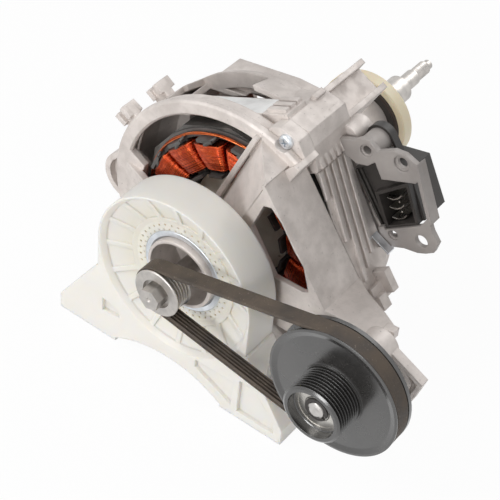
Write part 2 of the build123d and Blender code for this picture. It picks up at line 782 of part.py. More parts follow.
# Clamp screws: one through the corner block, seen from the front, and one through each pair of lugs.
screw_length = 22.0
with BuildPart() as one_screw:
    with BuildSketch(facing(0, 0, 0)):
        Circle(screw_head)
    extrude(amount=screw_head_height)
    fillet(one_screw.edges().group_by(Axis.Y)[0], 1.6)
    with BuildSketch(facing(-screw_head_height + 1.6, 0, 0)):
        RegularPolygon(2.4, 6)
    extrude(amount=2, mode=Mode.SUBTRACT)
    with BuildSketch(facing(screw_length, 0, 0)):
        Circle(screw_shank - screw_clearance)
    extrude(amount=screw_length)

screw_seats = [(boss_place, rim_front + 6)]
for angle in clamp_angles:
    screw_seats.append((polar(clamp_radius, angle), bell_parting - 10))
screw_copies = [
    Pos(place[0], front, shaft_height + place[1]) * one_screw.part for place, front in screw_seats
]
with BuildPart() as clamp_screws:
    add(screw_copies)

# Bare label on the bridge
label_thick = 0.3
with BuildPart() as name_label:
    chord_slab(bridge_angle, bridge_out, bridge_out + label_thick, bridge_left + 4, label_right,
               rear_bell_front, bridge_rear - 1)

# Side bracket: a plate with two lobes, a flange along its right edge and a boss.
bracket_rear = bracket_front + bracket_thick
upper_lobe = (
    (84, -37), (99, -33), (104, -33.5), (110, -31), (113, -23), (126, -22), (133, -18), (137, -12),
    (138.3, -10), (137, -2), (131, 2), (106, -4), (107, -16), (100, -14.5), (92, -17), (84, -27),
)
right_strip = ((138.3, -10), (129.3, 31.4), (126.3, 31), (135.2, -9))
lower_lug = (
    (119.7, 31.4), (128.8, 26.3), (127.0, 36.5), (127.5, 45.3), (121.2, 51.0), (114.3, 51.1),
    (107.8, 50.0), (98.9, 45.8), (87.8, 43.5), (77.5, 43.5), (77.5, 36.4), (83.8, 36.4),
    (85.7, 29.0), (90.0, 29.0), (90.2, 31.4),
)
boss_hole = (104.0, -24.5)
boss_outer = 8.2
boss_length = 15.0
large_hole = (127.0, -12.5)
small_hole = (94.8, 35.8)
through_hole = (115.3, 42.2)
with BuildPart() as side_bracket:
    slab([flank(*p) for p in upper_lobe], bracket_front, bracket_rear)
    slab([flank(*p) for p in right_strip], bracket_front, bracket_rear + 5.5)
    slab([flank(*p) for p in lower_lug], bracket_front, bracket_rear)
    # Boss behind the upper lobe
    bore(flank(*boss_hole), boss_outer, bracket_rear, bracket_rear + boss_length, Mode.ADD)
    # Lower flange under the electronics
    slab([flank(82, 41.5), flank(99, 44), flank(98.6, 46), flank(81.6, 43.5)],
         bracket_front + 1, bracket_front + 14)
    # Holes
    bore(flank(*boss_hole), 3.0, bracket_front - 1, bracket_rear + boss_length + 1)
    bore(flank(*boss_hole), 4.4, bracket_front - 1, bracket_front + 1.2)
    bore(flank(*large_hole), 3.4, bracket_front - 1, bracket_rear + 1)
    bore(flank(*large_hole), 5.6, bracket_front - 1, bracket_front + 1.6)
    bore(flank(*small_hole), 2.6, bracket_front - 1, bracket_rear + 1)
    bore(flank(*small_hole), 3.8, bracket_front - 1, bracket_front + 1.4)
    bore(flank(*through_hole), 4.6, bracket_front - 1, bracket_rear + 1)
    # The bracket lies against the rear bell
    add(rear_bell.part, mode=Mode.SUBTRACT)

# Dark strap round the rear end of the bracket's boss, with a tail towards the electronics
strap_wall = 1.8
strap_front = bracket_rear + boss_length - 3
with BuildPart() as boss_strap:
    boss_x, boss_z = flank(*boss_hole)
    ring(boss_outer, boss_outer + strap_wall, strap_front, strap_front + 6, boss_x, shaft_height + boss_z)
    slab([flank(90, -26), flank(104, -26), flank(104, -24.5), flank(113, -24), flank(113, -10), flank(90, -10)],
         strap_front - 1, strap_front + 7, Mode.SUBTRACT)
    slab([
        flank(boss_hole[0] + boss_outer + 0.02, -24.5), flank(boss_hole[0] + boss_outer + strap_wall, -24.5),
        flank(boss_hole[0] + boss_outer + strap_wall, -10), flank(boss_hole[0] + boss_outer + 0.02, -10),
    ], strap_front, strap_front + 6)

# Electronics housing behind the bracket, with the connector opening towards the front.
box_front = bracket_rear
connector = ((96.5, 7.0), (121.0, 4.2), (115.6, 29.4), (93.0, 29.4))
box_hollow = ((86, -8), (103, -8), (113, -3), (115, 27), (86, 27))
board_outline = ((86.2, -7.8), (102.9, -7.8), (112.8, -2.9), (114.8, 26.8), (86.2, 26.8))
cover_outline = ((84.6, -10), (103.5, -10), (114.5, -4.6), (116.4, 29), (84.6, 29))
with BuildPart() as electronics_housing:
    slab([
        flank(83, -12), flank(106, -12), flank(124.5, -4), flank(119.5, 31), flank(83, 31),
    ], box_front + 3, electronics_rear)
    slab([
        flank(94, 5), flank(123.5, 1.5), flank(117.5, 31), flank(90.5, 31),
    ], box_front - 2, box_front + 4)
    slab([flank(*p) for p in connector], box_front - 3, box_front + 16, Mode.SUBTRACT)
    # Hollow for the board, closed by the cover at the rear
    slab([flank(*p) for p in box_hollow], box_front + 19, electronics_rear - 2.5, Mode.SUBTRACT)
    slab([flank(*p) for p in cover_outline], electronics_rear - 2.5, electronics_rear + 1, Mode.SUBTRACT)
    # Ribs on the face towards the bracket
    for index in range(2):
        slab([
            flank(84 + 3.6 * index, -11), flank(85.6 + 3.6 * index, -11),
            flank(85.6 + 3.6 * index, 30), flank(84 + 3.6 * index, 30),
        ], box_front + 1.2, box_front + 4)

with BuildPart() as electronics_cover:
    slab([flank(*p) for p in cover_outline], electronics_rear - 2.5, electronics_rear)

with BuildPart() as control_board:
    slab([flank(*p) for p in board_outline], box_front + 19, box_front + 20.6)
    for index in range(3):
        slab([
            flank(90 + 7.2 * index, 10), flank(95 + 7.2 * index, 10),
            flank(95 + 7.2 * index, 22), flank(90 + 7.2 * index, 22),
        ], box_front + 20.6, electronics_rear - 3.2)

blade_places = ((103.3, 13.4), (102.0, 20.2), (100.4, 27.7))
with BuildPart() as blade_terminals:
    for out, row in blade_places:
        with BuildSketch(facing(box_front + 16)) as blade_outline:
            with BuildLine():
                ThreePointArc(flank(out - 6, row - 1.0), flank(out, row + 1.0), flank(out + 6, row - 1.0))
                Line(flank(out + 6, row - 1.0), flank(out + 6, row - 1.8))
                ThreePointArc(flank(out + 6, row - 1.8), flank(out, row + 0.2), flank(out - 6, row - 1.8))
                Line(flank(out - 6, row - 1.8), flank(out - 6, row - 1.0))
            make_face()
        extrude(blade_outline.sketch, amount=13)

with BuildPart() as terminal_pins:
    for place in ((104.5, 16.8), (103.0, 24.0)):
        bore(flank(*place), 0.7, box_front + 4, box_front + 16, Mode.ADD)

# Zinc spring clip at the lower corner of the electronics
with BuildPart() as spring_clip:
    slab([flank(81, 33), flank(84, 31), flank(90, 43), flank(89.2, 43.5), flank(83.6, 32.4), flank(81, 34)],
         bracket_front - 7, bracket_front - 1)
    slab([flank(89.2, 43.5), flank(90, 43), flank(91, 45), flank(90, 46)], bracket_front - 7, bracket_front)

# Stator stack: a twelve-sided ring with fifteen teeth.
with BuildPart() as tooth_stub:
    with BuildSketch(facing(stator_rear)):
        with Locations(((yoke_inner + tooth_tip_inner) / 2 + 1.5, 0)):
            Rectangle(yoke_inner - tooth_tip_inner + 0.6, tooth_width)
    extrude(amount=stator_rear - stator_front)

with BuildPart() as tip_ring:
    ring(tooth_tip_inner, tooth_tip_inner + tooth_tip_thick, stator_front, stator_rear)
    for index in range(tooth_count):
        angle = tooth_start + 360.0 * (index + 0.5) / tooth_count
        block(polar(tooth_tip_inner, angle), (12, slot_opening), stator_front - 1, stator_rear + 1, angle,
              Mode.SUBTRACT)

with BuildPart() as stator_core:
    with BuildSketch(facing(stator_rear)):
        RegularPolygon(stator_corner_radius, stator_sides, rotation=10)
        Circle(yoke_inner, mode=Mode.SUBTRACT)
    extrude(amount=stator_rear - stator_front)
    add(around(tooth_stub.part, tooth_count, tooth_start))
    add(tip_ring.part)

# Insulating end frames on both faces of the stack
with BuildPart() as frame_tooth:
    with BuildSketch(facing(stator_front)):
        with Locations((54, 0)):
            Rectangle(28, tooth_width)
    extrude(amount=insulator_thick)
    # Outer post that the lacing wire runs round, and inner fence
    with BuildSketch(facing(stator_front)):
        with Locations((68.2, 0)):
            Rectangle(2.4, 13)
    extrude(amount=9.5)
    with BuildSketch(facing(stator_front)):
        with Locations((41.2, 0)):
            Rectangle(2.0, 11)
    extrude(amount=8)

with BuildPart() as front_insulator:
    ring(yoke_inner, yoke_inner + 6, stator_front - insulator_thick, stator_front)
    add(around(frame_tooth.part, tooth_count, tooth_start))

with BuildPart() as rear_insulator:
    add(front_insulator.part.mirror(Plane.XZ.offset(-stator_middle)))


def winding_half(radius):
    """Half the width of a winding's wire line at a distance from the shaft line."""
    return winding_half_width + winding_flare * (radius - winding_inner)


def winding_reach(radius):
    """Half the length of a winding's wire line along the shaft."""
    return (stator_rear - stator_front) / 2 + insulator_thick + winding_half(radius) - tooth_width / 2 + 0.8


def join_biarc(start, start_way, end, end_way):
    """Join two points with two tangent arcs, or with a line where they lie straight."""
    gap = end - start
    if start_way.dot(end_way) > 1 - 1e-9 and gap.normalized().dot(start_way) > 1 - 1e-9:
        Line(start, end)
        return
    both = start_way + end_way
    spread = 2 * (1 - start_way.dot(end_way))
    reach = (-gap.dot(both) + math.sqrt(gap.dot(both) ** 2 + spread * gap.dot(gap))) / spread
    middle = (start + start_way * reach + end - end_way * reach) * 0.5
    middle_way = (end - end_way * reach - start - start_way * reach).normalized()
    TangentArc(start, middle, tangent=start_way)
    TangentArc(middle, end, tangent=middle_way)


def winding_route():
    """Points and directions of one unbroken wire round a tooth, from its tip to its root."""
    route = []
    radius = winding_inner
    for index in range(turns):
        for side in (1, -1):
            way = Vector(0, -side, 0)
            half = winding_half(radius)
            reach = winding_reach(radius)
            route.append((Vector(radius, stator_middle + side * (reach - turn_bend), side * half), way))
            route.append((Vector(radius, stator_middle - side * (reach - turn_bend), side * half), way))
            next_radius = radius + turn_pitch / 2
            next_half = winding_half(next_radius)
            head = stator_middle - side * (reach + winding_reach(next_radius)) / 2
            start_side = side * (half - turn_bend)
            end_side = -side * (next_half - turn_bend)
            climb = turn_pitch / 2 / (half + next_half)
            first = Vector(radius + climb * turn_bend, head, start_side)
            last = Vector(next_radius - climb * turn_bend, head, end_side)
            head_way = (last - first).normalized()
            route.append((first, head_way))
            route.append((last, head_way))
            radius = next_radius
    return route[:-2]


route = winding_route()
with BuildLine() as wire_line:
    for (start, start_way), (end, end_way) in zip(route, route[1:]):
        join_biarc(start, start_way, end, end_way)

with BuildPart() as one_winding:
    with BuildSketch(Plane(origin=route[0][0], z_dir=route[0][1])) as wire_section:
        Circle(wire / 2)
    sweep(wire_section.sketch, path=wire_line.wires()[0])

wire_path = wire_line.wires()[0]
samples = [wire_path.position_at(index / 2400) for index in range(2401)]
step_length = wire_path.length / 2400
skip = int(20 / step_length)
least = min(
    (samples[i] - samples[j]).length
    for i in range(0, 2401, 3)
    for j in range(i + skip, min(i + skip + 170, 2401))
)
print(f"winding: {turns} turns, wire {wire_path.length:.0f} mm, least gap between turns {least - wire:.2f} mm")
print(f"winding volume {one_winding.part.volume:.1f}, section times length "
      f"{math.pi * wire ** 2 / 4 * wire_path.length:.1f}")

# Windings are turned about the shaft line with the height of the shaft added
lift = Pos(0, 0, shaft_height)
with BuildPart() as tooth_windings:
    add(around(lift * one_winding.part, tooth_count, tooth_start))

core_gap = 0.12
core_start = winding_inner - 0.6
core_end = winding_inner + turn_pitch * (turns - 0.5) + 0.6


def core_outline(radius):
    """Half width and half length of the packed winding core at a distance from the shaft line."""
    less = wire / 2 + core_gap
    return (winding_half(radius) - less, winding_reach(radius) - less)


with BuildPart() as one_core:
    for radius in (core_start, core_end):
        half, reach = core_outline(radius)
        place = Plane(origin=(radius, stator_middle, shaft_height), x_dir=(0, 1, 0), z_dir=(1, 0, 0))
        with BuildSketch(place):
            RectangleRounded(2 * reach, 2 * half, turn_bend - wire / 2 - core_gap)
    loft()
    with BuildSketch(facing(stator_rear + insulator_thick)):
        with Locations((54, 0)):
            Rectangle(40, tooth_width)
    extrude(amount=stator_rear - stator_front + 2 * insulator_thick, mode=Mode.SUBTRACT)

with BuildPart() as winding_cores:
    add(around(one_core.part, tooth_count, tooth_start))

with BuildPart() as lacing_wire:
    turn_circle = Plane(origin=(lacing_ring, stator_front - 3.4, shaft_height),
                        x_dir=(1, 0, 0), z_dir=(0, 0, 1))
    with BuildSketch(turn_circle) as lacing_section:
        Circle(lacing_wire_size / 2)
    revolve(lacing_section.sketch, axis=shaft_axis)

# Rotor: stack with buried magnets between two end discs
with BuildPart() as magnets:
    for index in range(pole_count):
        angle = 360.0 * index / pole_count
        block(polar(magnet_centre, angle), (magnet_thick, magnet_width), rotor_front, rotor_rear, angle)

with BuildPart() as rotor_core:
    ring(rotor_bore, rotor_outer, rotor_front, rotor_rear)
    add(magnets.part, mode=Mode.SUBTRACT)

with BuildPart() as rotor_end_discs:
    ring(rotor_bore, rotor_outer - 0.3, rotor_front - end_disc_thick, rotor_front)
    ring(rotor_bore, rotor_outer - 0.3, rotor_rear, rotor_rear + end_disc_thick)
    for index in range(5):
        angle = 20 + 72.0 * index
        block(polar(26, angle), (4.5, 0.9), rotor_front - 2, rotor_rear + 2, angle, Mode.SUBTRACT)
        bore(polar(34, angle + 30), 0.8, rotor_front - 2, rotor_rear + 2)

# Shaft: hex end, journals, long rear end with a turned and threaded tip
front_bearing_rear = front_bearing_front + bearing_width
rear_bearing_front = rear_bearing_rear - bearing_width
thread_profile = []
thread_turns = int((thread_rear - rear_shaft_rear - 2) / thread_pitch)
for index in range(thread_turns):
    y = rear_shaft_rear + 1.0 + thread_pitch * index
    thread_profile.append((thread_outer - 0.7, y))
    thread_profile.append((thread_outer, y + thread_pitch / 2))
with BuildPart() as rotor_shaft:
    turn([
        (0, pulley_front + 3), (front_shaft, pulley_front + 3), (front_shaft, web_front),
        (bearing_bore, web_front), (bearing_bore, front_bearing_rear), (rotor_bore, front_bearing_rear),
        (rotor_bore, rear_bearing_front), (bearing_bore, rear_bearing_front),
        (bearing_bore, rear_bearing_rear), (collar_seat, rear_bearing_rear),
        (collar_seat, collar_rear + 0.5), (rear_shaft, collar_rear + 0.5),
        (rear_shaft, rear_shaft_rear - 0.5), (thread_outer - 0.7, rear_shaft_rear),
        *thread_profile,
        (thread_outer - 0.7, thread_rear - 1), (tip_outer, thread_rear),
        (tip_outer, tip_rear - 1.2), (tip_outer - 1.2, tip_rear), (0, tip_rear),
    ])
    with BuildSketch(facing(pulley_front + 3)):
        RegularPolygon(hex_flats / 2, 6, major_radius=False, rotation=18)
    extrude(amount=pulley_front + 3 - hex_front)
    turn([
        (hex_flats / 2 - 0.2, hex_front - 1), (hex_flats, hex_front - 1), (hex_flats, hex_front + 2.2),
    ], mode=Mode.SUBTRACT)
    turn([
        (0, hex_front - 1), (1.6, hex_front - 1), (1.6, hex_front), (0.7, hex_front + 1.4),
        (0.7, hex_front + 3.5), (0, hex_front + 4),
    ], mode=Mode.SUBTRACT)

# Motor pulley: flanged steel pulley with grooves for the belt
with BuildPart() as motor_pulley:
    band = grooved(motor_ridge, belt_front, belt_ribs, 0.2)
    turn([
        (front_shaft, pulley_front + 3), (10.5, pulley_front + 3), (10.5, pulley_front),
        (motor_flange - 0.6, pulley_front), (motor_flange, pulley_front + 0.6),
        (motor_flange, belt_front - 0.5), *band,
        (motor_flange - 0.4, pulley_rear - 0.3), (motor_flange - 0.4, pulley_rear), (front_shaft, pulley_rear),
    ])

# Collar on the rear shaft
with BuildPart() as rear_collar:
    turn([
        (collar_seat, rear_bearing_rear), (bearing_bore + race_wall - 0.6, rear_bearing_rear),
        (bearing_bore + race_wall - 0.6, neck_rear + 1), (collar_outer - 0.2, neck_rear + 1),
        (collar_outer, neck_rear + 1.2), (collar_outer, collar_rear - 0.8), (collar_outer - 0.8, collar_rear),
        (collar_seat, collar_rear),
    ])


# Bearings of the shaft
def bearing_stations():
    """The front faces of the two bearings of the shaft."""
    return (front_bearing_front, rear_bearing_front)


race_inner = bearing_bore + race_wall
race_outer = bearing_outer - race_wall
ball_ring = (race_inner + race_outer) / 2
ball_radius = (race_outer - race_inner) / 2 - ball_gap

with BuildPart() as outer_races:
    for front in bearing_stations():
        ring(race_outer, bearing_outer, front, front + bearing_width)

with BuildPart() as inner_races:
    for front in bearing_stations():
        ring(bearing_bore, race_inner, front, front + bearing_width)

with BuildPart() as bearing_shields:
    for front in bearing_stations():
        near = front + shield_inset
        far = front + bearing_width - shield_inset - shield_thick
        ring(race_inner + 0.4, race_outer, near, near + shield_thick)
        ring(race_inner + 0.4, race_outer, far, far + shield_thick)


def ball_set(balls, centre_ring, radius, y, x=0.0, z=shaft_height):
    """Balls spaced about a line along Y."""
    for index in range(balls):
        px, pz = polar(centre_ring, 360.0 * index / balls)
        with Locations((x + px, y, z + pz)):
            Sphere(radius)


with BuildPart() as bearing_balls:
    for front in bearing_stations():
        ball_set(balls_per_bearing, ball_ring, ball_radius, front + bearing_width / 2)

with BuildPart() as ball_pockets:
    for front in bearing_stations():
        ball_set(balls_per_bearing, ball_ring, ball_radius + 0.1, front + bearing_width / 2)

with BuildPart() as bearing_cages:
    for front in bearing_stations():
        middle = front + bearing_width / 2
        ring(ball_ring - 1.1, ball_ring + 1.1, middle - 1.6, middle + 1.6)
    add(ball_pockets.part, mode=Mode.SUBTRACT)

# Relay pulley: small grooved hub, disc and large grooved band in one piece
relay_rear_bore = relay_bearing_front + relay_bearing_width
with BuildPart() as relay_pulley:
    hub_band = grooved(relay_hub_radius, relay_hub_front + 1.0, relay_hub_grooves, 0.0)
    large_band = grooved(relay_ridge, belt_front, belt_ribs, 0.2)
    turn([
        (relay_bore, relay_hub_front), (relay_hub_radius - 1.6, relay_hub_front),
        *hub_band[:-1], (relay_hub_radius - 0.6, relay_disc_front - 1.0),
        (relay_step, relay_disc_front - 1.0), (relay_step, relay_disc_front + 0.4),
        (relay_ridge - 3, relay_disc_front + 1.2), (relay_disc - 1.6, relay_disc_front),
        (relay_disc, relay_disc_front + 0.2), (relay_disc, relay_disc_front + relay_lip),
        *large_band,
        (relay_disc, belt_front + groove_pitch * belt_ribs + 0.4), (relay_disc, relay_disc_rear),
        (relay_disc - 5, relay_disc_rear), (relay_disc - 6, relay_disc_front + relay_web + 3),
        (relay_step + 3, relay_disc_front + relay_web + 1.5), (relay_step, relay_disc_rear - 2),
        (relay_bearing_outer - 1.5, relay_disc_rear - 2), (relay_bearing_outer - 1.5, relay_rear_bore),
        (relay_bearing_outer, relay_rear_bore), (relay_bearing_outer, relay_bearing_front),
        (relay_bore, relay_bearing_front - 0.5),
    ], relay_across, relay_height)

# Relay axle, its circlip and its bearing
with BuildPart() as relay_axle:
    spacer = relay_bearing_bore + 2.2
    turn([
        (0, relay_pin_end), (relay_bearing_bore - 2.2, relay_pin_end),
        (relay_bearing_bore - 0.6, relay_pin_end + 0.7), (relay_bearing_bore, relay_pin_end + 1.6),
        (relay_bearing_bore, relay_rear_bore), (spacer, relay_rear_bore), (spacer, relay_boss_front),
        (relay_bearing_bore, relay_boss_front), (relay_bearing_bore, relay_boss_rear + 0.5),
        (relay_bearing_bore - 0.5, relay_boss_rear + 1), (0, relay_boss_rear + 1),
    ], relay_across, relay_height)
    ring(relay_bearing_bore - 0.6, relay_bearing_bore + 1, relay_bearing_front - 1.1, relay_bearing_front,
         relay_across, relay_height, Mode.SUBTRACT)

with BuildPart() as relay_circlip:
    ring(relay_bearing_bore - 0.6, relay_bearing_bore + 2.0, relay_bearing_front - 1.1, relay_bearing_front,
         relay_across, relay_height)
    block((relay_across + 6.5, relay_rise - 3), (8, 3), relay_bearing_front - 2, relay_bearing_front + 1, -25,
          Mode.SUBTRACT)

relay_race_inner = relay_bearing_bore + relay_race_wall
relay_race_outer = relay_bearing_outer - relay_race_wall
relay_ball_ring = (relay_race_inner + relay_race_outer) / 2
relay_ball_radius = (relay_race_outer - relay_race_inner) / 2 - ball_gap
relay_middle = relay_bearing_front + relay_bearing_width / 2

with BuildPart() as relay_inner_race:
    ring(relay_bearing_bore, relay_race_inner, relay_bearing_front, relay_rear_bore, relay_across, relay_height)

with BuildPart() as relay_outer_race:
    ring(relay_race_outer, relay_bearing_outer, relay_bearing_front, relay_rear_bore,
         relay_across, relay_height)

with BuildPart() as relay_shields:
    ring(relay_race_inner + 0.4, relay_race_outer, relay_bearing_front + 0.3, relay_bearing_front + 0.8,
         relay_across, relay_height)
    ring(relay_race_inner + 0.4, relay_race_outer, relay_rear_bore - 0.8, relay_rear_bore - 0.3,
         relay_across, relay_height)

with BuildPart() as relay_balls:
    ball_set(balls_per_bearing, relay_ball_ring, relay_ball_radius, relay_middle, relay_across, relay_height)

with BuildPart() as relay_pockets:
    ball_set(balls_per_bearing, relay_ball_ring, relay_ball_radius + 0.1, relay_middle,
             relay_across, relay_height)

with BuildPart() as relay_cage:
    ring(relay_ball_ring - 1.1, relay_ball_ring + 1.1, relay_middle - 1.6, relay_middle + 1.6,
         relay_across, relay_height)
    add(relay_pockets.part, mode=Mode.SUBTRACT)

# Belt: one profile turned round both pulleys and drawn straight between them
belt_width = groove_pitch * belt_ribs


def belt_profile(ridge):
    """Outline of the belt's section: plain back, ribs towards the pulley."""
    lean = math.tan(math.radians(rib_lean))
    half = groove_pitch / 2 - 0.15 - belt_gap / math.cos(math.radians(rib_lean))
    root = ridge + belt_gap
    points = [(ridge + belt_back, belt_front), (root, belt_front)]
    for index in range(belt_ribs):
        middle = belt_front + groove_pitch * (index + 0.5)
        points.append((root, middle - half - belt_gap * lean))
        points.append((ridge - rib_length, middle - half + rib_length * lean))
        points.append((ridge - rib_length, middle + half - rib_length * lean))
        points.append((root, middle + half + belt_gap * lean))
    points.append((root, belt_front + belt_width))
    points.append((ridge + belt_back, belt_front + belt_width))
    return points


centre_distance = math.hypot(relay_across, relay_rise)
line_angle = math.degrees(math.atan2(relay_rise, relay_across))
span_lean = math.degrees(math.asin((relay_ridge - motor_ridge) / centre_distance))
span_length = centre_distance * math.cos(math.radians(span_lean))
upper_angle = line_angle + span_lean + 90
lower_angle = line_angle - span_lean - 90


def radial_plane(x, z, degrees):
    """A plane through a line along Y, whose first axis points out at an angle."""
    out = (math.cos(math.radians(degrees)), 0, math.sin(math.radians(degrees)))
    up = (0, 1, 0)
    normal = Vector(*out).cross(Vector(*up))
    return Plane(origin=(x, 0, z), x_dir=out, z_dir=normal)


def belt_section(plane, ridge):
    """The belt's section on a plane through a pulley's line."""
    with BuildSketch(plane) as section:
        with BuildLine():
            Polyline(*belt_profile(ridge), close=True)
        make_face()
    return section.sketch


with BuildPart() as drive_belt:
    upper_section = belt_section(radial_plane(0, shaft_height, upper_angle), motor_ridge)
    lower_section = belt_section(radial_plane(0, shaft_height, lower_angle), motor_ridge)
    far_section = belt_section(radial_plane(relay_across, relay_height, lower_angle), relay_ridge)
    revolve(upper_section, axis=Axis((0, 0, shaft_height), (0, -1, 0)),
            revolution_arc=360 - upper_angle + lower_angle)
    revolve(far_section, axis=Axis((relay_across, 0, relay_height), (0, -1, 0)),
            revolution_arc=upper_angle - lower_angle)
    extrude(upper_section, amount=-span_length)
    extrude(lower_section, amount=span_length)
print(f"belt: spans {span_length:.1f} mm, upper normal {upper_angle:.1f}, lower normal {lower_angle:.1f}")

# Rear mount: inner ring running on the neck, rubber ring, outer ring
mount_rear = mount_front + mount_width
with BuildPart() as mount_bush:
    ring(neck_outer + running_fit, mount_inner_ring, mount_front, neck_rear)

with BuildPart() as rear_rubber_ring:
    turn([
        (mount_inner_ring, mount_front), (mount_inner_ring + 1, mount_front - 0.8),
        (mount_rubber - 1, mount_front - 0.8), (mount_rubber, mount_front + 0.6),
        (mount_rubber, mount_rear - 0.6), (mount_rubber - 1, mount_rear - 1.6),
        (mount_inner_ring + 1, mount_rear - 4), (mount_inner_ring, mount_rear - 4),
    ])

with BuildPart() as rear_ring:
    turn([
        (mount_rubber, mount_front), (mount_outer - 0.8, mount_front), (mount_outer, mount_front + 0.8),
        (mount_outer, mount_rear - 0.8), (mount_outer - 0.8, mount_rear), (mount_rubber, mount_rear),
    ])

os.makedirs("parts", exist_ok=True)
front_foot.part.label = "front_foot"
export_step(front_foot.part, "parts/front_foot.step")
foot_sleeve.part.label = "foot_sleeve"
export_step(foot_sleeve.part, "parts/foot_sleeve.step")
front_bell.part.label = "front_bell"
export_step(front_bell.part, "parts/front_bell.step")
rear_bell.part.label = "rear_bell"
export_step(rear_bell.part, "parts/rear_bell.step")
clamp_screws.part.label = "clamp_screws"
export_step(clamp_screws.part, "parts/clamp_screws.step")
name_label.part.label = "name_label"
export_step(name_label.part, "parts/name_label.step")
side_bracket.part.label = "side_bracket"
export_step(side_bracket.part, "parts/side_bracket.step")
boss_strap.part.label = "boss_strap"
export_step(boss_strap.part, "parts/boss_strap.step")
electronics_housing.part.label = "electronics_housing"
export_step(electronics_housing.part, "parts/electronics_housing.step")
electronics_cover.part.label = "electronics_cover"
export_step(electronics_cover.part, "parts/electronics_cover.step")
control_board.part.label = "control_board"
export_step(control_board.part, "parts/control_board.step")
blade_terminals.part.label = "blade_terminals"
export_step(blade_terminals.part, "parts/blade_terminals.step")
terminal_pins.part.label = "terminal_pins"
export_step(terminal_pins.part, "parts/terminal_pins.step")
spring_clip.part.label = "spring_clip"
export_step(spring_clip.part, "parts/spring_clip.step")
stator_core.part.label = "stator_core"
export_step(stator_core.part, "parts/stator_core.step")
front_insulator.part.label = "front_insulator"
export_step(front_insulator.part, "parts/front_insulator.step")
rear_insulator.part.label = "rear_insulator"
export_step(rear_insulator.part, "parts/rear_insulator.step")
winding_cores.part.label = "winding_cores"
export_step(winding_cores.part, "parts/winding_cores.step")
tooth_windings.part.label = "tooth_windings"
export_step(tooth_windings.part, "parts/tooth_windings.step")
lacing_wire.part.label = "lacing_wire"
export_step(lacing_wire.part, "parts/lacing_wire.step")
magnets.part.label = "magnets"
export_step(magnets.part, "parts/magnets.step")
rotor_core.part.label = "rotor_core"
export_step(rotor_core.part, "parts/rotor_core.step")
rotor_end_discs.part.label = "rotor_end_discs"
export_step(rotor_end_discs.part, "parts/rotor_end_discs.step")
rotor_shaft.part.label = "rotor_shaft"
export_step(rotor_shaft.part, "parts/rotor_shaft.step")
motor_pulley.part.label = "motor_pulley"
export_step(motor_pulley.part, "parts/motor_pulley.step")
rear_collar.part.label = "rear_collar"
export_step(rear_collar.part, "parts/rear_collar.step")
outer_races.part.label = "outer_races"
export_step(outer_races.part, "parts/outer_races.step")
inner_races.part.label = "inner_races"
export_step(inner_races.part, "parts/inner_races.step")
bearing_shields.part.label = "bearing_shields"
export_step(bearing_shields.part, "parts/bearing_shields.step")
bearing_balls.part.label = "bearing_balls"
export_step(bearing_balls.part, "parts/bearing_balls.step")
bearing_cages.part.label = "bearing_cages"
export_step(bearing_cages.part, "parts/bearing_cages.step")
relay_pulley.part.label = "relay_pulley"
export_step(relay_pulley.part, "parts/relay_pulley.step")
relay_axle.part.label = "relay_axle"
export_step(relay_axle.part, "parts/relay_axle.step")
relay_circlip.part.label = "relay_circlip"
export_step(relay_circlip.part, "parts/relay_circlip.step")
relay_inner_race.part.label = "relay_inner_race"
export_step(relay_inner_race.part, "parts/relay_inner_race.step")
relay_outer_race.part.label = "relay_outer_race"
export_step(relay_outer_race.part, "parts/relay_outer_race.step")
relay_shields.part.label = "relay_shields"
export_step(relay_shields.part, "parts/relay_shields.step")
relay_balls.part.label = "relay_balls"
export_step(relay_balls.part, "parts/relay_balls.step")
relay_cage.part.label = "relay_cage"
export_step(relay_cage.part, "parts/relay_cage.step")
drive_belt.part.label = "drive_belt"
export_step(drive_belt.part, "parts/drive_belt.step")
mount_bush.part.label = "mount_bush"
export_step(mount_bush.part, "parts/mount_bush.step")
rear_rubber_ring.part.label = "rear_rubber_ring"
export_step(rear_rubber_ring.part, "parts/rear_rubber_ring.step")
rear_ring.part.label = "rear_ring"
export_step(rear_ring.part, "parts/rear_ring.step")
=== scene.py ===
# %% [markdown]
# # A dryer motor
# The CAD frame brings every rigid piece in at its true place and size. This lesson sets the camera,
# the light and the finishes, and models what a solid can't show well: the fine copper windings, the
# ribbed belt, the rubber of the rear mount and the screws.

# %% Load the frame
import bpy
import math
from mathutils import Matrix, Vector


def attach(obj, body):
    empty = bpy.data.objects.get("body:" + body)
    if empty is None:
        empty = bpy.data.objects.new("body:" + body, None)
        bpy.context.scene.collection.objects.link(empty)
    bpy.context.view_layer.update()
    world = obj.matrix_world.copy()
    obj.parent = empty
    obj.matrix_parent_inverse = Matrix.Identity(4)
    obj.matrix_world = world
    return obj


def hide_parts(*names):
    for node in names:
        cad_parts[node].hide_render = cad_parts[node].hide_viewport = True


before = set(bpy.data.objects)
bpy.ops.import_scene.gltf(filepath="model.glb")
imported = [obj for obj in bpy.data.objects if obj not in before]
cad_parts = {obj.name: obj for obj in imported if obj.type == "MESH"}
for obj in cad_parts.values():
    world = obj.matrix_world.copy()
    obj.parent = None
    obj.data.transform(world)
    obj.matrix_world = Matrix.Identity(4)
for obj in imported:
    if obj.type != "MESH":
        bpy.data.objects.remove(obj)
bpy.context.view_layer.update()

# %% [markdown]
# The shaft runs along Y at a height of 88 mm, and the relay pulley turns on an axle of its own beside
# it. Most round pieces are measured from one of these two lines, so they are written down once.

# %% Lines that the pieces turn about
mm = 0.001
shaft = Vector((0, 0, 88 * mm))
relay = Vector((134 * mm, 0, 93.5 * mm))
print("shaft height", round(shaft.z, 4), "relay at", round(relay.x, 4), round(relay.z, 4))

# %% [markdown]
# The photograph looks down on the belt side from the right. Round rims that it shows as ovals fix how
# far the camera is turned and raised, and the belt's pitch fixes how far off it stands. It is also
# rolled a little, as a camera in the hand is.

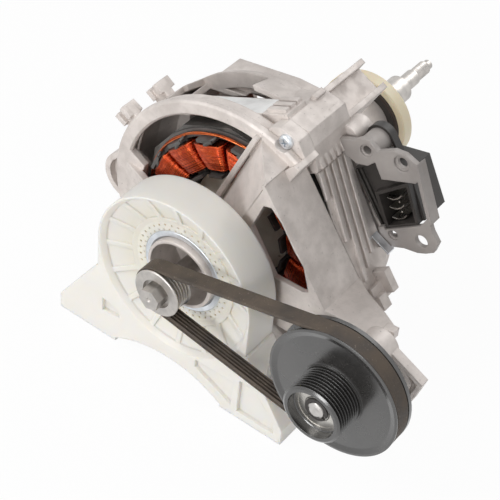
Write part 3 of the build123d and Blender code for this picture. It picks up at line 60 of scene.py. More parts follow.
# %% Camera
turned, raised, rolled = (math.radians(degrees) for degrees in (32.8925, 43.8737, 6.0326))
camera_place = Vector((0.4148, -0.5681, 0.7861))
picture_width, focal_pixels, film_width = 500, 1548, 36
back = Vector((math.sin(turned) * math.cos(raised), -math.cos(turned) * math.cos(raised), math.sin(raised)))
level = Vector((math.cos(turned), math.sin(turned), 0))
upright = back.cross(level)
right = math.cos(rolled) * level + math.sin(rolled) * upright
up = -math.sin(rolled) * level + math.cos(rolled) * upright
bpy.ops.object.select_all(action="DESELECT")
bpy.ops.object.camera_add()
camera = bpy.context.object
camera.name = "photo_camera"
camera.matrix_world = Matrix((
    (right.x, up.x, back.x, camera_place.x), (right.y, up.y, back.y, camera_place.y),
    (right.z, up.z, back.z, camera_place.z), (0, 0, 0, 1),
))
camera.data.sensor_width = film_width
camera.data.lens = focal_pixels / picture_width * film_width
camera.data.clip_start = 0.01
bpy.context.scene.camera = camera
bpy.context.scene.view_settings.view_transform = "Standard"
print("lens", round(camera.data.lens, 1))

# %% [markdown]
# ## Finishes
# A finish is a tree of shader nodes. One helper adds a node and joins it up in a line, which keeps each
# finish readable. A value that comes from another node is joined, and a plain number is set on the
# socket. The other helpers name the few sums that come back again and again.

# %% Shader nodes in one line
def node(tree, kind, sockets=None, **settings):
    """One shader node, with its settings and its sockets set or joined."""
    made = tree.nodes.new("ShaderNode" + kind)
    for name, value in settings.items():
        setattr(made, name, value)
    for name, value in (sockets or {}).items():
        if isinstance(value, bpy.types.NodeSocket):
            tree.links.new(value, made.inputs[name])
        else:
            made.inputs[name].default_value = value
    return made


def colour(r, g, b):
    """A colour as the shader reads it, with full alpha."""
    return (r, g, b, 1.0)


def maths(tree, operation, *values):
    """The result of one Math node."""
    return node(tree, "Math", dict(enumerate(values)), operation=operation).outputs["Value"]


def ramp(tree, value, start, end):
    """A number that goes from 0 to 1 while a value goes from start to end."""
    return node(tree, "MapRange", {"Value": value, "From Min": start, "From Max": end}).outputs["Result"]


def spread(tree, factor, low, high):
    """A number between two, by a factor."""
    return node(tree, "MapRange", {"Value": factor, "To Min": low, "To Max": high}).outputs["Result"]


print("node helpers ready")

# %% [markdown]
# Two colours are mixed by a factor. Dust, stains and haze are a shade that is laid over the colour
# below, up to a share, so they are one helper on top of that mix.

# %% Mixing colours
factor_socket, first_socket, second_socket, mixed_socket = 0, 6, 7, 2


def between(tree, factor, first, second):
    """A colour between two, by a factor."""
    mix = node(tree, "Mix", data_type="RGBA")
    for index, value in ((factor_socket, factor), (first_socket, first), (second_socket, second)):
        if isinstance(value, bpy.types.NodeSocket):
            tree.links.new(value, mix.inputs[index])
        else:
            mix.inputs[index].default_value = value
    return mix.outputs[mixed_socket]


def laid_over(tree, base, factor, share, shade):
    """A colour with a shade over it, which covers up to a share where the factor is 1."""
    return between(tree, spread(tree, factor, 0.0, share), base, shade)


print("mixing helpers ready")

# %% [markdown]
# Every finish is one Principled material that reads the object's own coordinates, so its pattern stays
# on the piece when the piece moves. No real surface is even, and soft noises give that unevenness.

# %% A finish and its clouds
def new_finish(name, metallic=0.0, roughness=0.5):
    """A material with its tree, its shader and the object's own coordinates."""
    made = bpy.data.materials.new(name)
    made.use_nodes = True
    tree = made.node_tree
    shader = tree.nodes["Principled BSDF"]
    shader.inputs["Metallic"].default_value = metallic
    shader.inputs["Roughness"].default_value = roughness
    place = node(tree, "TexCoord").outputs["Object"]
    return made, tree, shader, place


def clouds(tree, place, scale, detail=4.0, low=0.35, high=0.65):
    """A soft noise from 0 to 1, whose patches are about 1/scale of a metre across."""
    noise = node(tree, "TexNoise", {"Vector": place, "Scale": scale, "Detail": detail, "Roughness": 0.55})
    return ramp(tree, noise.outputs["Fac"], low, high)


def coat(tree, shader, base, roughness):
    """Join a colour and a roughness to the shader."""
    tree.links.new(base, shader.inputs["Base Color"])
    tree.links.new(roughness, shader.inputs["Roughness"])


print("finish helpers ready")

# %% [markdown]
# Grain that is finer than a millimetre isn't worth real geometry, so a Bump node draws it. A Bevel node
# below it rounds the sharp edges that the solids have.

# %% Fine relief
def relief(tree, shader, height, depth, strength=0.5, edge=0.0):
    """Fine relief in metres on the shader, over edges rounded by a small radius."""
    sockets = {"Height": height, "Distance": depth, "Strength": strength}
    if edge:
        rounded = node(tree, "Bevel", {"Radius": edge}, samples=6)
        sockets["Normal"] = rounded.outputs["Normal"]
    bump = node(tree, "Bump", sockets)
    tree.links.new(bump.outputs["Normal"], shader.inputs["Normal"])


print("relief helper ready")

# %% [markdown]
# Die-cast aluminium is a matt grey metal that scatters more light than it mirrors, so only a third of
# the shader is metal. The real castings are blotchy from the mould's release agent, with dark pin spots
# and a fine grain, so three noises of different size are laid over each other. The side bracket wears
# the same casting in darker shades, which is a painted shade for the side that lies in shadow.

# %% Cast aluminium
finishes = {}


def cast_aluminium(name, dark, light):
    """Blotchy casting between two shades of grey."""
    made, tree, shader, place = new_finish(name, metallic=0.3)
    blotch = clouds(tree, place, scale=26.0, detail=6.0, low=0.32, high=0.68)
    stain = clouds(tree, place, scale=120.0, detail=5.0, low=0.42, high=0.62)
    spots = clouds(tree, place, scale=420.0, detail=3.0, low=0.66, high=0.74)
    base = between(tree, blotch, dark, light)
    base = laid_over(tree, base, stain, 0.20, colour(0.36, 0.325, 0.30))
    base = laid_over(tree, base, spots, 0.5, colour(0.25, 0.22, 0.21))
    coat(tree, shader, base, spread(tree, stain, 0.48, 0.64))
    grain = node(tree, "TexNoise", {"Vector": place, "Scale": 900.0, "Detail": 4.0})
    relief(tree, shader, grain.outputs["Fac"], depth=0.2 * mm, strength=0.35, edge=1.2 * mm)
    return made


finishes["aluminium"] = cast_aluminium(
    "cast_aluminium", dark=colour(0.55, 0.50, 0.47), light=colour(0.78, 0.72, 0.68))
# Painted shade: the bracket wears the same casting at about half the brightness, for the shaded side.
finishes["bracket"] = cast_aluminium(
    "shaded_bracket_aluminium", dark=colour(0.26, 0.237, 0.225), light=colour(0.37, 0.342, 0.325))
print("castings", [finish.name for finish in finishes.values()])

# %% [markdown]
# Turned rings, a dished face and the weave of a belt all follow a line along Y. The distance from that
# line is the length of the place with its Y taken out.

# %% Distance from a line
def from_line(tree, place, centre):
    """How far a point lies from a line along Y, and its X, Y and Z from that line."""
    moved = node(tree, "Mapping", {"Vector": place, "Location": (-centre.x, 0, -centre.z)})
    flat = node(tree, "Mapping", {"Vector": moved.outputs["Vector"], "Scale": (1, 0, 1)})
    length = node(tree, "VectorMath", {0: flat.outputs["Vector"]}, operation="LENGTH")
    parts = node(tree, "SeparateXYZ", {"Vector": moved.outputs["Vector"]})
    return length.outputs["Value"], parts.outputs


print("line helper ready")

# %% [markdown]
# The foot is unfilled nylon. Light goes a little way into it, so its walls glow. Subsurface scattering
# gives the glow, and depth behind the front face drives a straw-coloured painted shade, which darkens
# the face where it lies deep and is strongest on the floor of each small dimple round the sleeve.

# %% Milky nylon
def milky_nylon():
    """Milky in the walls, with a straw-coloured painted shade where the face near the sleeve lies deep."""
    made, tree, shader, place = new_finish("milky_nylon", roughness=0.34)
    away, parts = from_line(tree, place, shaft)
    near = ramp(tree, away, 62 * mm, 45 * mm)
    deep_shade = maths(tree, "MULTIPLY", ramp(tree, parts["Y"], -12.5 * mm, -2.2 * mm), near)
    dimple_shade = maths(tree, "MULTIPLY", ramp(tree, parts["Y"], -2.9 * mm, -2.4 * mm), near)
    haze = clouds(tree, place, scale=30.0, detail=3.0)
    # Painted shade: the face turns straw where it lies deep, and dark amber on each dimple floor.
    base = between(tree, deep_shade, colour(0.79, 0.768, 0.725), colour(0.76, 0.725, 0.63))
    base = laid_over(tree, base, dimple_shade, 0.75, colour(0.58, 0.43, 0.20))
    base = laid_over(tree, base, haze, 0.25, colour(0.74, 0.72, 0.68))
    tree.links.new(base, shader.inputs["Base Color"])
    shader.inputs["Subsurface Weight"].default_value = 0.55
    shader.inputs["Subsurface Radius"].default_value = (1.0, 0.8, 0.55)
    shader.inputs["Subsurface Scale"].default_value = 6 * mm
    grain = clouds(tree, place, scale=300.0, detail=2.0)
    relief(tree, shader, grain, depth=0.1 * mm, strength=0.12, edge=1.4 * mm)
    return made


finishes["nylon"] = milky_nylon()
print("finish", finishes["nylon"].name)

# %% [markdown]
# A lathe leaves fine rings. A noise along one line is read by the distance from the turning line plus
# the place along it, so it draws rings on a flat face and on a round wall alike.

# %% Lathe rings
def lathe_rings(tree, place, centre, per_metre=2600.0):
    """Rings that a lathe leaves, on a face across the line and on a round wall alike."""
    away, parts = from_line(tree, place, centre)
    total = maths(tree, "ADD", away, parts["Y"])
    noise = node(tree, "TexNoise", {"W": total, "Scale": per_metre, "Detail": 3.0}, noise_dimensions="1D")
    return noise.outputs["Fac"]


print("lathe helper ready")

# %% [markdown]
# Bright metals differ by how they were made. Zinc plate is bluish and cloudy, turned steel carries the
# rings of the lathe, and ground bearing steel is smooth. One function makes them all from a colour, a
# roughness and the line that the piece was turned about.

# %% Bright metals
def bright_metal(name, light, dark, smooth, dull, rings, centre=shaft):
    """A bare metal between two colours and two roughnesses, with lathe rings of a given strength."""
    made, tree, shader, place = new_finish(name, metallic=1.0)
    cloud = clouds(tree, place, scale=160.0, detail=5.0)
    coat(tree, shader, between(tree, cloud, light, dark), spread(tree, cloud, smooth, dull))
    relief(tree, shader, lathe_rings(tree, place, centre), depth=0.1 * mm, strength=rings, edge=0.3 * mm)
    return made


finishes["zinc"] = bright_metal(
    "zinc_plate", colour(0.74, 0.77, 0.81), colour(0.60, 0.63, 0.66), smooth=0.28, dull=0.44, rings=0.1)
finishes["turned"] = bright_metal(
    "turned_steel", colour(0.56, 0.53, 0.50), colour(0.45, 0.43, 0.41), smooth=0.34, dull=0.46, rings=0.06)
finishes["relay_turned"] = bright_metal(
    "relay_axle_steel", colour(0.62, 0.60, 0.58), colour(0.50, 0.48, 0.46), smooth=0.26, dull=0.38,
    rings=0.04, centre=relay)
finishes["ground"] = bright_metal(
    "bearing_steel", colour(0.62, 0.61, 0.60), colour(0.50, 0.49, 0.48), smooth=0.20, dull=0.32, rings=0.1)
finishes["relay_ground"] = bright_metal(
    "relay_bearing_steel", colour(0.66, 0.64, 0.60), colour(0.52, 0.50, 0.47), smooth=0.24, dull=0.36,
    rings=0.03, centre=relay)
finishes["terminal"] = bright_metal(
    "tinned_blades", colour(0.74, 0.71, 0.66), colour(0.58, 0.55, 0.50), smooth=0.22, dull=0.36, rings=0.05)
print("finishes so far", len(finishes))

# %% [markdown]
# Copper wire in a motor is coated with a clear orange enamel. The metal is reddish, each turn differs
# a little, and the coat gives small sharp highlights. Deep in the slots the same wire gets a darker
# copy, a painted shade, and it keeps the lighter colour where it runs free round the winding heads.

# %% Enamelled copper
def enamelled_copper(name, light, dark):
    """Reddish metal between two colours, under a clear coat."""
    made, tree, shader, place = new_finish(name, metallic=1.0)
    patch = clouds(tree, place, scale=330.0)
    coat(tree, shader, between(tree, patch, light, dark), spread(tree, patch, 0.24, 0.42))
    shader.inputs["Coat Weight"].default_value = 0.35
    shader.inputs["Coat Roughness"].default_value = 0.15
    relief(tree, shader, clouds(tree, place, scale=900.0, detail=2.0), depth=0.1 * mm, strength=0.15)
    return made


finishes["copper"] = enamelled_copper(
    "enamelled_copper", light=colour(0.82, 0.135, 0.034), dark=colour(0.54, 0.060, 0.016))
# Painted shade: a darker copy of the copper for the wire deep in the slots.
finishes["slot_shade_copper"] = enamelled_copper(
    "shaded_copper", light=colour(0.34, 0.07, 0.022), dark=colour(0.18, 0.035, 0.012))
finishes["lacing"] = enamelled_copper(
    "lacing_wire", light=colour(0.85, 0.22, 0.06), dark=colour(0.62, 0.12, 0.03))
print("finishes so far", len(finishes))

# %% [markdown]
# Moulded plastics share one recipe: a nearly even colour, a slight change of gloss from place to
# place, and the fine spark-eroded grain of the mould. Gloss and grain tell one plastic from another,
# and the rubber and the paint of the rotor's disc are made the same way.

# %% Moulded plastic
def moulded_plastic(name, light, dark, smooth, dull, grain=0.25):
    """An even plastic between two colours and two roughnesses, with grain of a given strength."""
    made, tree, shader, place = new_finish(name)
    cloud = clouds(tree, place, scale=60.0, detail=5.0)
    coat(tree, shader, between(tree, cloud, light, dark), spread(tree, cloud, smooth, dull))
    fine = clouds(tree, place, scale=1500.0, detail=2.0)
    relief(tree, shader, fine, depth=0.1 * mm, strength=grain, edge=0.4 * mm)
    return made


finishes["insulator"] = moulded_plastic(
    "dark_insulator", colour(0.075, 0.070, 0.066), colour(0.115, 0.108, 0.102), smooth=0.34, dull=0.50)
finishes["black"] = moulded_plastic(
    "black_plastic", colour(0.022, 0.019, 0.017), colour(0.036, 0.031, 0.028), smooth=0.36, dull=0.55,
    grain=0.4)
finishes["board"] = moulded_plastic(
    "board_green", colour(0.03, 0.10, 0.04), colour(0.05, 0.14, 0.06), smooth=0.25, dull=0.4, grain=0.1)
finishes["cage"] = moulded_plastic(
    "cage_plastic", colour(0.40, 0.32, 0.18), colour(0.32, 0.25, 0.14), smooth=0.4, dull=0.5)
finishes["disc"] = moulded_plastic(
    "disc_paint", colour(0.74, 0.70, 0.61), colour(0.66, 0.62, 0.54), smooth=0.40, dull=0.55, grain=0.1)
finishes["rubber"] = moulded_plastic(
    "brown_rubber", colour(0.030, 0.019, 0.014), colour(0.050, 0.034, 0.026), smooth=0.55, dull=0.75,
    grain=0.5)
print("finishes so far", len(finishes))

# %% [markdown]
# The relay pulley is glossy black. Its disc mirrors the studio softly and shows dust, so the gloss
# varies in smears and pale specks lie on the black.

# %% Glossy black pulley
def glossy_black():
    """Smeared and dusty black gloss with faint turned rings."""
    made, tree, shader, place = new_finish("glossy_black")
    dust = clouds(tree, place, scale=900.0, detail=2.0, low=0.70, high=0.76)
    smear = clouds(tree, place, scale=35.0, detail=5.0)
    base = laid_over(tree, colour(0.022, 0.021, 0.020), smear, 0.6, colour(0.045, 0.042, 0.040))
    base = laid_over(tree, base, dust, 0.35, colour(0.35, 0.33, 0.30))
    coat(tree, shader, base, spread(tree, smear, 0.20, 0.34))
    shader.inputs["Specular IOR Level"].default_value = 0.9
    shader.inputs["Coat Weight"].default_value = 0.6
    shader.inputs["Coat Roughness"].default_value = 0.2
    rings = lathe_rings(tree, place, relay, per_metre=1500.0)
    relief(tree, shader, rings, depth=0.1 * mm, strength=0.05, edge=0.4 * mm)
    return made


finishes["glossy"] = glossy_black()
print("finish", finishes["glossy"].name)

# %% [markdown]
# The belt is black rubber that has run: brownish, matt and dusty, with pale specks rubbed out of the
# ribs. Across its back runs the faint weave of the cords, which is drawn by the angle round the relay
# pulley.

# %% Belt rubber
def belt_rubber():
    """Dusty rubber with a faint weave across it."""
    made, tree, shader, place = new_finish("belt_rubber")
    dust = clouds(tree, place, scale=70.0, detail=6.0, low=0.38, high=0.68)
    specks = clouds(tree, place, scale=1000.0, detail=2.0, low=0.68, high=0.73)
    base = between(tree, dust, colour(0.048, 0.037, 0.029), colour(0.105, 0.081, 0.061))
    base = laid_over(tree, base, specks, 0.6, colour(0.36, 0.30, 0.24))
    coat(tree, shader, base, spread(tree, dust, 0.62, 0.85))
    parts = from_line(tree, place, relay)[1]
    angle = maths(tree, "ARCTAN2", parts["Z"], parts["X"])
    weave = maths(tree, "SINE", maths(tree, "MULTIPLY", angle, 300.0))
    grain = clouds(tree, place, scale=1300.0, detail=3.0)
    relief(tree, shader, maths(tree, "MULTIPLY_ADD", weave, 0.35, grain), depth=0.12 * mm)
    return made


finishes["belt"] = belt_rubber()
print("finish", finishes["belt"].name)

# %% [markdown]
# The stator and the rotor are stacks of thin varnished sheets. Bands across the shaft direction, half a
# millimetre apart, draw the edges of the sheets.

# %% Stacked sheets
def stacked_sheets(sheet_thick=0.5 * mm):
    """Dark varnished steel with a band for each sheet."""
    made, tree, shader, place = new_finish("stacked_sheets", metallic=0.75)
    parts = node(tree, "SeparateXYZ", {"Vector": place}).outputs
    bands = maths(tree, "SINE", maths(tree, "MULTIPLY", parts["Y"], 2 * math.pi / sheet_thick))
    cloud = clouds(tree, place, scale=90.0, detail=5.0)
    base = between(tree, cloud, colour(0.10, 0.095, 0.09), colour(0.19, 0.18, 0.17))
    coat(tree, shader, base, spread(tree, cloud, 0.38, 0.55))
    relief(tree, shader, bands, depth=0.1 * mm, strength=0.4, edge=0.3 * mm)
    return made


finishes["sheets"] = stacked_sheets()
print("finish", finishes["sheets"].name)

# %% [markdown]
# The label is a pale satin film. It stays bare, with the slight waviness and handling marks of a real
# one.

# %% Label film
def label_film():
    """A pale film with faint marks."""
    made, tree, shader, place = new_finish("label_film")
    marks = clouds(tree, place, scale=110.0, detail=5.0, low=0.45, high=0.75)
    base = between(tree, marks, colour(0.88, 0.885, 0.88), colour(0.74, 0.74, 0.73))
    coat(tree, shader, base, spread(tree, marks, 0.30, 0.45))
    relief(tree, shader, clouds(tree, place, scale=140.0, detail=2.0), depth=0.2 * mm, strength=0.15)
    return made


finishes["label"] = label_film()
print("finish", finishes["label"].name)

# %% [markdown]
# The cream ring of the rear mount is nylon like the foot, but yellowed, and it is more orange on its
# left side and towards its bore than on the rest of its face.

# %% Cream nylon
def cream_nylon():
    """Yellowed nylon, more orange to the left and inside."""
    made, tree, shader, place = new_finish("cream_nylon", roughness=0.38)
    away, parts = from_line(tree, place, shaft)
    inside = ramp(tree, away, 35 * mm, 31.5 * mm)
    left = ramp(tree, parts["X"], 0.0, -35 * mm)
    haze = clouds(tree, place, scale=60.0, detail=3.0)
    base = laid_over(tree, colour(0.87, 0.78, 0.58), haze, 0.4, colour(0.84, 0.73, 0.50))
    base = laid_over(tree, base, left, 0.45, colour(0.80, 0.56, 0.27))
    base = laid_over(tree, base, inside, 0.25, colour(0.70, 0.52, 0.30))
    tree.links.new(base, shader.inputs["Base Color"])
    shader.inputs["Subsurface Weight"].default_value = 0.3
    shader.inputs["Subsurface Radius"].default_value = (1.0, 0.6, 0.3)
    shader.inputs["Subsurface Scale"].default_value = 3 * mm
    grain = clouds(tree, place, scale=500.0, detail=2.0)
    relief(tree, shader, grain, depth=0.1 * mm, strength=0.15, edge=0.5 * mm)
    return made


finishes["cream"] = cream_nylon()
print("finish", finishes["cream"].name)

# %% [markdown]
# Each finish is given to the CAD nodes that have it. A node keeps its mesh, and only its material slots
# change.

# %% Give the nodes their finishes
worn_by = {
    "aluminium": ["front_bell", "rear_bell"],
    "bracket": ["side_bracket"],
    "nylon": ["front_foot"],
    "zinc": ["foot_sleeve", "clamp_screws", "spring_clip"],
    "turned": ["rotor_shaft", "motor_pulley", "rear_collar"],
    "relay_turned": ["relay_axle"],
    "ground": ["outer_races", "inner_races", "bearing_shields", "bearing_balls"],
    "relay_ground": ["relay_inner_race", "relay_outer_race", "relay_shields", "relay_balls"],
    "terminal": ["blade_terminals", "terminal_pins"],
    "copper": ["tooth_windings"],
    "slot_shade_copper": ["winding_cores"],
    "lacing": ["lacing_wire"],
    "insulator": ["front_insulator", "rear_insulator"],
    "black": ["boss_strap", "electronics_housing", "electronics_cover", "mount_bush", "relay_circlip"],
    "board": ["control_board"],
    "cage": ["bearing_cages", "relay_cage"],
    "disc": ["rotor_end_discs"],
    "rubber": ["rear_rubber_ring"],
    "glossy": ["relay_pulley"],
    "belt": ["drive_belt"],
    "sheets": ["stator_core", "rotor_core", "magnets"],
    "label": ["name_label"],
    "cream": ["rear_ring"],
}
dressed = set()
for finish, names in worn_by.items():
    for name in names:
        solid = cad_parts[name]
        solid.data.materials.clear()
        solid.data.materials.append(finishes[finish])
        dressed.add(name)
print("dressed", len(dressed), "left", sorted(set(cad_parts) - dressed))

# %% [markdown]
# ## Pieces that a solid can't show
# The new pieces are round or follow a path, so each starts as a ring of points at its true place, which
# an edit then spins or extrudes. Afterwards its doubles are merged, its faces turned outwards, and all
# but its real edges smoothed.

# %% Helpers for shaping
def only(*things):
    """Select these objects alone, with the last one active."""
    bpy.ops.object.select_all(action="DESELECT")
    for thing in things:
        thing.select_set(True)
    bpy.context.view_layer.objects.active = things[-1]


def outward(centre, radius, y, degrees):
    """A point, in millimetres, at a radius and an angle above +X from a line along Y."""
    c, s = math.cos(math.radians(degrees)), math.sin(math.radians(degrees))
    return Vector((centre.x + radius * mm * c, y * mm, centre.z + radius * mm * s))


def outline(name, places):
    """A closed ring of vertices that an edit can spin or extrude."""
    bpy.ops.object.select_all(action="DESELECT")
    bpy.ops.mesh.primitive_circle_add(vertices=len(places), fill_type="NOTHING")
    made = bpy.context.object
    made.name = name
    for vertex, place in zip(made.data.vertices, places):
        vertex.co = place
    return made


def tidy_mesh(made, angle):
    """Merge doubles, turn the faces outwards and smooth all edges under an angle."""
    only(made)
    bpy.ops.object.mode_set(mode="EDIT")
    bpy.ops.mesh.select_all(action="SELECT")
    bpy.ops.mesh.remove_doubles(threshold=0.004 * mm)
    bpy.ops.mesh.normals_make_consistent(inside=False)
    bpy.ops.object.mode_set(mode="OBJECT")
    bpy.ops.object.shade_smooth_by_angle(angle=math.radians(angle))


print("shaping helpers ready")

# %% [markdown]
# A finished piece stands for one CAD node: it rides on that node's body, and that node is hidden.

# %% Hand a piece over
def place_piece(made, finish, body, slot_name, *nodes):
    """Give a piece its finish, its body and the CAD nodes that it stands for."""
    if finish:
        made.data.materials.clear()
        made.data.materials.append(finishes[finish])
    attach(made, body)
    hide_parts(*nodes)
    print(made.name, "faces", len(made.data.polygons))


print("hand-over helper ready")

# %% [markdown]
# The belt is one closed loop of rubber with a plain back and five ribs that sit in the pulleys' grooves.
# Its section is drawn once, in millimetres from the shaft line and along it. Each rib is a wedge with a
# narrow flat tip, and the back's two edges are broken.

# %% Belt section
motor_ridge, relay_ridge = 16.2, 43.7
rib_pitch, rib_count, belt_front = 2.34, 5, -27.8
belt_rear = belt_front + rib_pitch * rib_count
rib_side = [(0.3, -0.81), (-1.3, -0.25), (-1.5, -0.1)]
valley, back_edge, back_face, broken = motor_ridge + 0.3, motor_ridge + 1.6, motor_ridge + 2.0, 0.4
section = [(back_edge, belt_front), (valley, belt_front)]
for index in range(rib_count):
    middle = belt_front + rib_pitch * (index + 0.5)
    section += [(motor_ridge + r, middle + y) for r, y in rib_side]
    section += [(motor_ridge + r, middle - y) for r, y in reversed(rib_side)]
section += [(valley, belt_rear), (back_edge, belt_rear),
            (back_face, belt_rear - broken), (back_face, belt_front + broken)]
print("belt width", round(belt_rear - belt_front, 2), "points", len(section))

# %% [markdown]
# The section is spun round the shaft pulley, drawn straight to the relay pulley, spun round that and
# drawn back to where it began. The straight runs touch both pulleys, so they leave each at the same
# angle, which the two radii and the distance between the lines give.

# %% Ribbed belt
between_lines = relay - shaft
wedge = math.degrees(math.asin((relay_ridge - motor_ridge) * mm / between_lines.length))
tilt = math.degrees(math.atan2(between_lines.z, between_lines.x))
over, under = tilt + wedge + 90, tilt - wedge - 90
belt = outline("ribbed_belt", [outward(shaft, r, y, over) for r, y in section])
only(belt)
bpy.ops.object.mode_set(mode="EDIT")
bpy.ops.mesh.select_all(action="SELECT")
bpy.ops.mesh.spin(steps=60, angle=math.radians(360 - over + under), center=shaft, axis=(0, 1, 0))
lower_run = outward(relay, relay_ridge, 0, under) - outward(shaft, motor_ridge, 0, under)
bpy.ops.mesh.extrude_region_move(TRANSFORM_OT_translate={"value": lower_run})
bpy.ops.mesh.spin(steps=120, angle=math.radians(over - under), center=relay, axis=(0, 1, 0))
upper_run = outward(shaft, motor_ridge, 0, over) - outward(relay, relay_ridge, 0, over)
bpy.ops.mesh.extrude_region_move(TRANSFORM_OT_translate={"value": upper_run})
bpy.ops.object.mode_set(mode="OBJECT")
tidy_mesh(belt, 30)
place_piece(belt, "belt", "motor", "belt_rubber", "drive_belt")

# %% [markdown]
# A wire is a curve with a round bevel. The operator that adds a path gives the curve object, its points
# are set from a list, and the curve is then turned into a mesh. What repeats round the stator is one
# wire, copied and turned about the shaft.

# %% Helpers for wires
def wire_along(name, places, thickness, closed=False, sizes=None):
    """A round wire along a path, turned into a mesh."""
    bpy.ops.object.select_all(action="DESELECT")
    bpy.ops.curve.primitive_nurbs_path_add(radius=mm)
    made = bpy.context.object
    made.name = name
    curve = made.data
    curve.splines.clear()
    line = curve.splines.new("POLY")
    line.points.add(len(places) - 1)
    for index, place in enumerate(places):
        line.points[index].co = (*place, 1.0)
        line.points[index].radius = sizes[index] if sizes else 1.0
    line.use_cyclic_u = closed
    curve.bevel_depth = thickness / 2
    curve.bevel_resolution = 1
    curve.use_fill_caps = not closed
    only(made)
    bpy.ops.object.convert(target="MESH")
    made = bpy.context.object
    tidy_mesh(made, 60)
    return made


def turned_copy(made, degrees):
    """A copy with a mesh of its own, turned about the shaft from +X upwards."""
    only(made)
    bpy.ops.object.duplicate(linked=False)
    copy = bpy.context.object
    copy.matrix_world = (Matrix.Translation(shaft) @ Matrix.Rotation(-math.radians(degrees), 4, "Y")
                         @ Matrix.Translation(-shaft) @ copy.matrix_world)
    bpy.ops.object.transform_apply(location=True, rotation=True, scale=True)
    return copy


tooth_count, first_tooth = 15, 16
tooth_angles = [first_tooth + 360 / tooth_count * index for index in range(tooth_count)]
print("teeth at", tooth_angles)

# %% [markdown]
# Each tooth of the stator carries a coil of fine enamelled wire. A machine winds it turn by turn from
# the tip outwards, and the turns lie side by side but never quite even. The coil is drawn as a single
# wire path with a small shake: each turn goes along the slot, round the head, back along the other side
# and round the other head. The coil grows wider outwards, as the slot does, and its heads reach furthest
# near the middle.

# %% Path of one coil
import random
shake = random.Random(11)
stack_middle, stack_reach = 74.5, 17.3
coil_start, wire_size, wire_pitch, wire_turns = 45.0, 0.72, 0.76, 26
half_at_start, half_growth, slot_gap = 8.2, 0.171, 0.25
fullest, fullest_at, fullest_span = 0.9, 54.5, 10.5
corner, squareness = 4.0, 0.55
turn_steps, side_steps = 28, 7


def coil_places():
    """The path of one coil, turn by turn, on a tooth along +X."""
    places = []
    for number in range(wire_turns):
        off = shake.uniform(-0.12, 0.12)
        lean = shake.uniform(-0.25, 0.25)
        for step in range(turn_steps):
            r = coil_start + wire_pitch * (number + step / turn_steps) + off
            half = half_at_start + half_growth * (r - coil_start)
            swell = fullest * (1 - ((r - fullest_at) / fullest_span) ** 2)
            reach = stack_reach + half - slot_gap + swell
            quarter, along = divmod(step, side_steps)
            way = along / (side_steps - 1)
            side = 1 if quarter < 2 else -1
            if quarter in (0, 2):
                y = (-1 + 2 * way) * (reach - corner) * side
                places.append((r, y + lean, half * side + shake.uniform(-0.07, 0.07)))
            else:
                angle = math.radians(180 * way)
                bow = abs(math.cos(angle)) ** squareness * math.copysign(1, math.cos(angle))
                rise = math.sin(angle) ** squareness if 0 < way < 1 else 0.0
                y = side * (reach - corner + corner * rise)
                places.append((r + lean * rise, y, side * half * bow))
    return [(r * mm, (stack_middle + y) * mm, shaft.z + z * mm) for r, y, z in places]


print("steps in a coil", wire_turns * turn_steps)

# %% [markdown]
# One coil becomes a wire, and the fifteen coils are turned copies of it, joined into one piece.

# %% Tooth windings
coil = wire_along("tooth_winding_wire", coil_places(), wire_size * mm)
coils = [turned_copy(coil, degrees) for degrees in tooth_angles]
bpy.data.objects.remove(coil)
only(*coils)
bpy.ops.object.join()
windings = bpy.context.object
windings.name = "tooth_winding_wires"
place_piece(windings, "copper", "motor", "copper", "tooth_windings")

# %% [markdown]
# Outside the coils runs a ring of three loose strands that joins the coils. The strands are twisted
# about the middle of the ring.

# %% Strands of the lacing wire
ring_radius, ring_place, strand_size, twist_radius = 70.9, 51.6, 0.84, 0.62
strand_count, ring_steps, twists = 3, 240, 5


def strand_places(number):
    """One strand of the ring, twisted about the ring's middle."""
    places = []
    for step in range(ring_steps):
        degrees = 360 / ring_steps * step
        twist = math.radians(360 / strand_count * number + twists * degrees)
        places.append(outward(shaft, ring_radius + twist_radius * math.cos(twist),
                              ring_place + twist_radius * math.sin(twist), degrees))
    return places


strands = [wire_along("lacing_strand", strand_places(number), strand_size * mm, closed=True)
           for number in range(strand_count)]
for strand in strands:
    strand.data.materials.append(finishes["lacing"])
print("strands", len(strands))

# %% [markdown]
# Where the ring dives to a coil it wears a short dark sleeve, which tapers at both ends. One sleeve is
# drawn along a bend, and the others are turned copies of it.

# %% Sleeves, and the lacing as one piece
bend = [(69.8, 50.2, -7.4), (69.0, 47.6, -6.0), (67.6, 46.3, -3.6), (66.2, 46.2, -1.0),
        (65.2, 46.6, 1.2), (64.6, 47.4, 2.6)]
sleeve_size, sleeve_taper = 2.9, (0.55, 0.9, 1.0, 1.0, 0.9, 0.5)
sleeve = wire_along("winding_sleeve", [(r * mm, y * mm, shaft.z + z * mm) for r, y, z in bend],
                    sleeve_size * mm, sizes=sleeve_taper)
sleeves = [turned_copy(sleeve, degrees) for degrees in tooth_angles]
bpy.data.objects.remove(sleeve)
for cover in sleeves:
    cover.data.materials.append(finishes["insulator"])
only(*sleeves, *strands)
bpy.ops.object.join()
lacing = bpy.context.object
lacing.name = "lacing_strands"
place_piece(lacing, None, "motor", "copper", "lacing_wire")

# %% [markdown]
# The rear mount's rubber is bonded between its rings. A hollow runs round each face, so that the rubber
# can shear, and its lips are rounded. The section is spun once round the shaft.

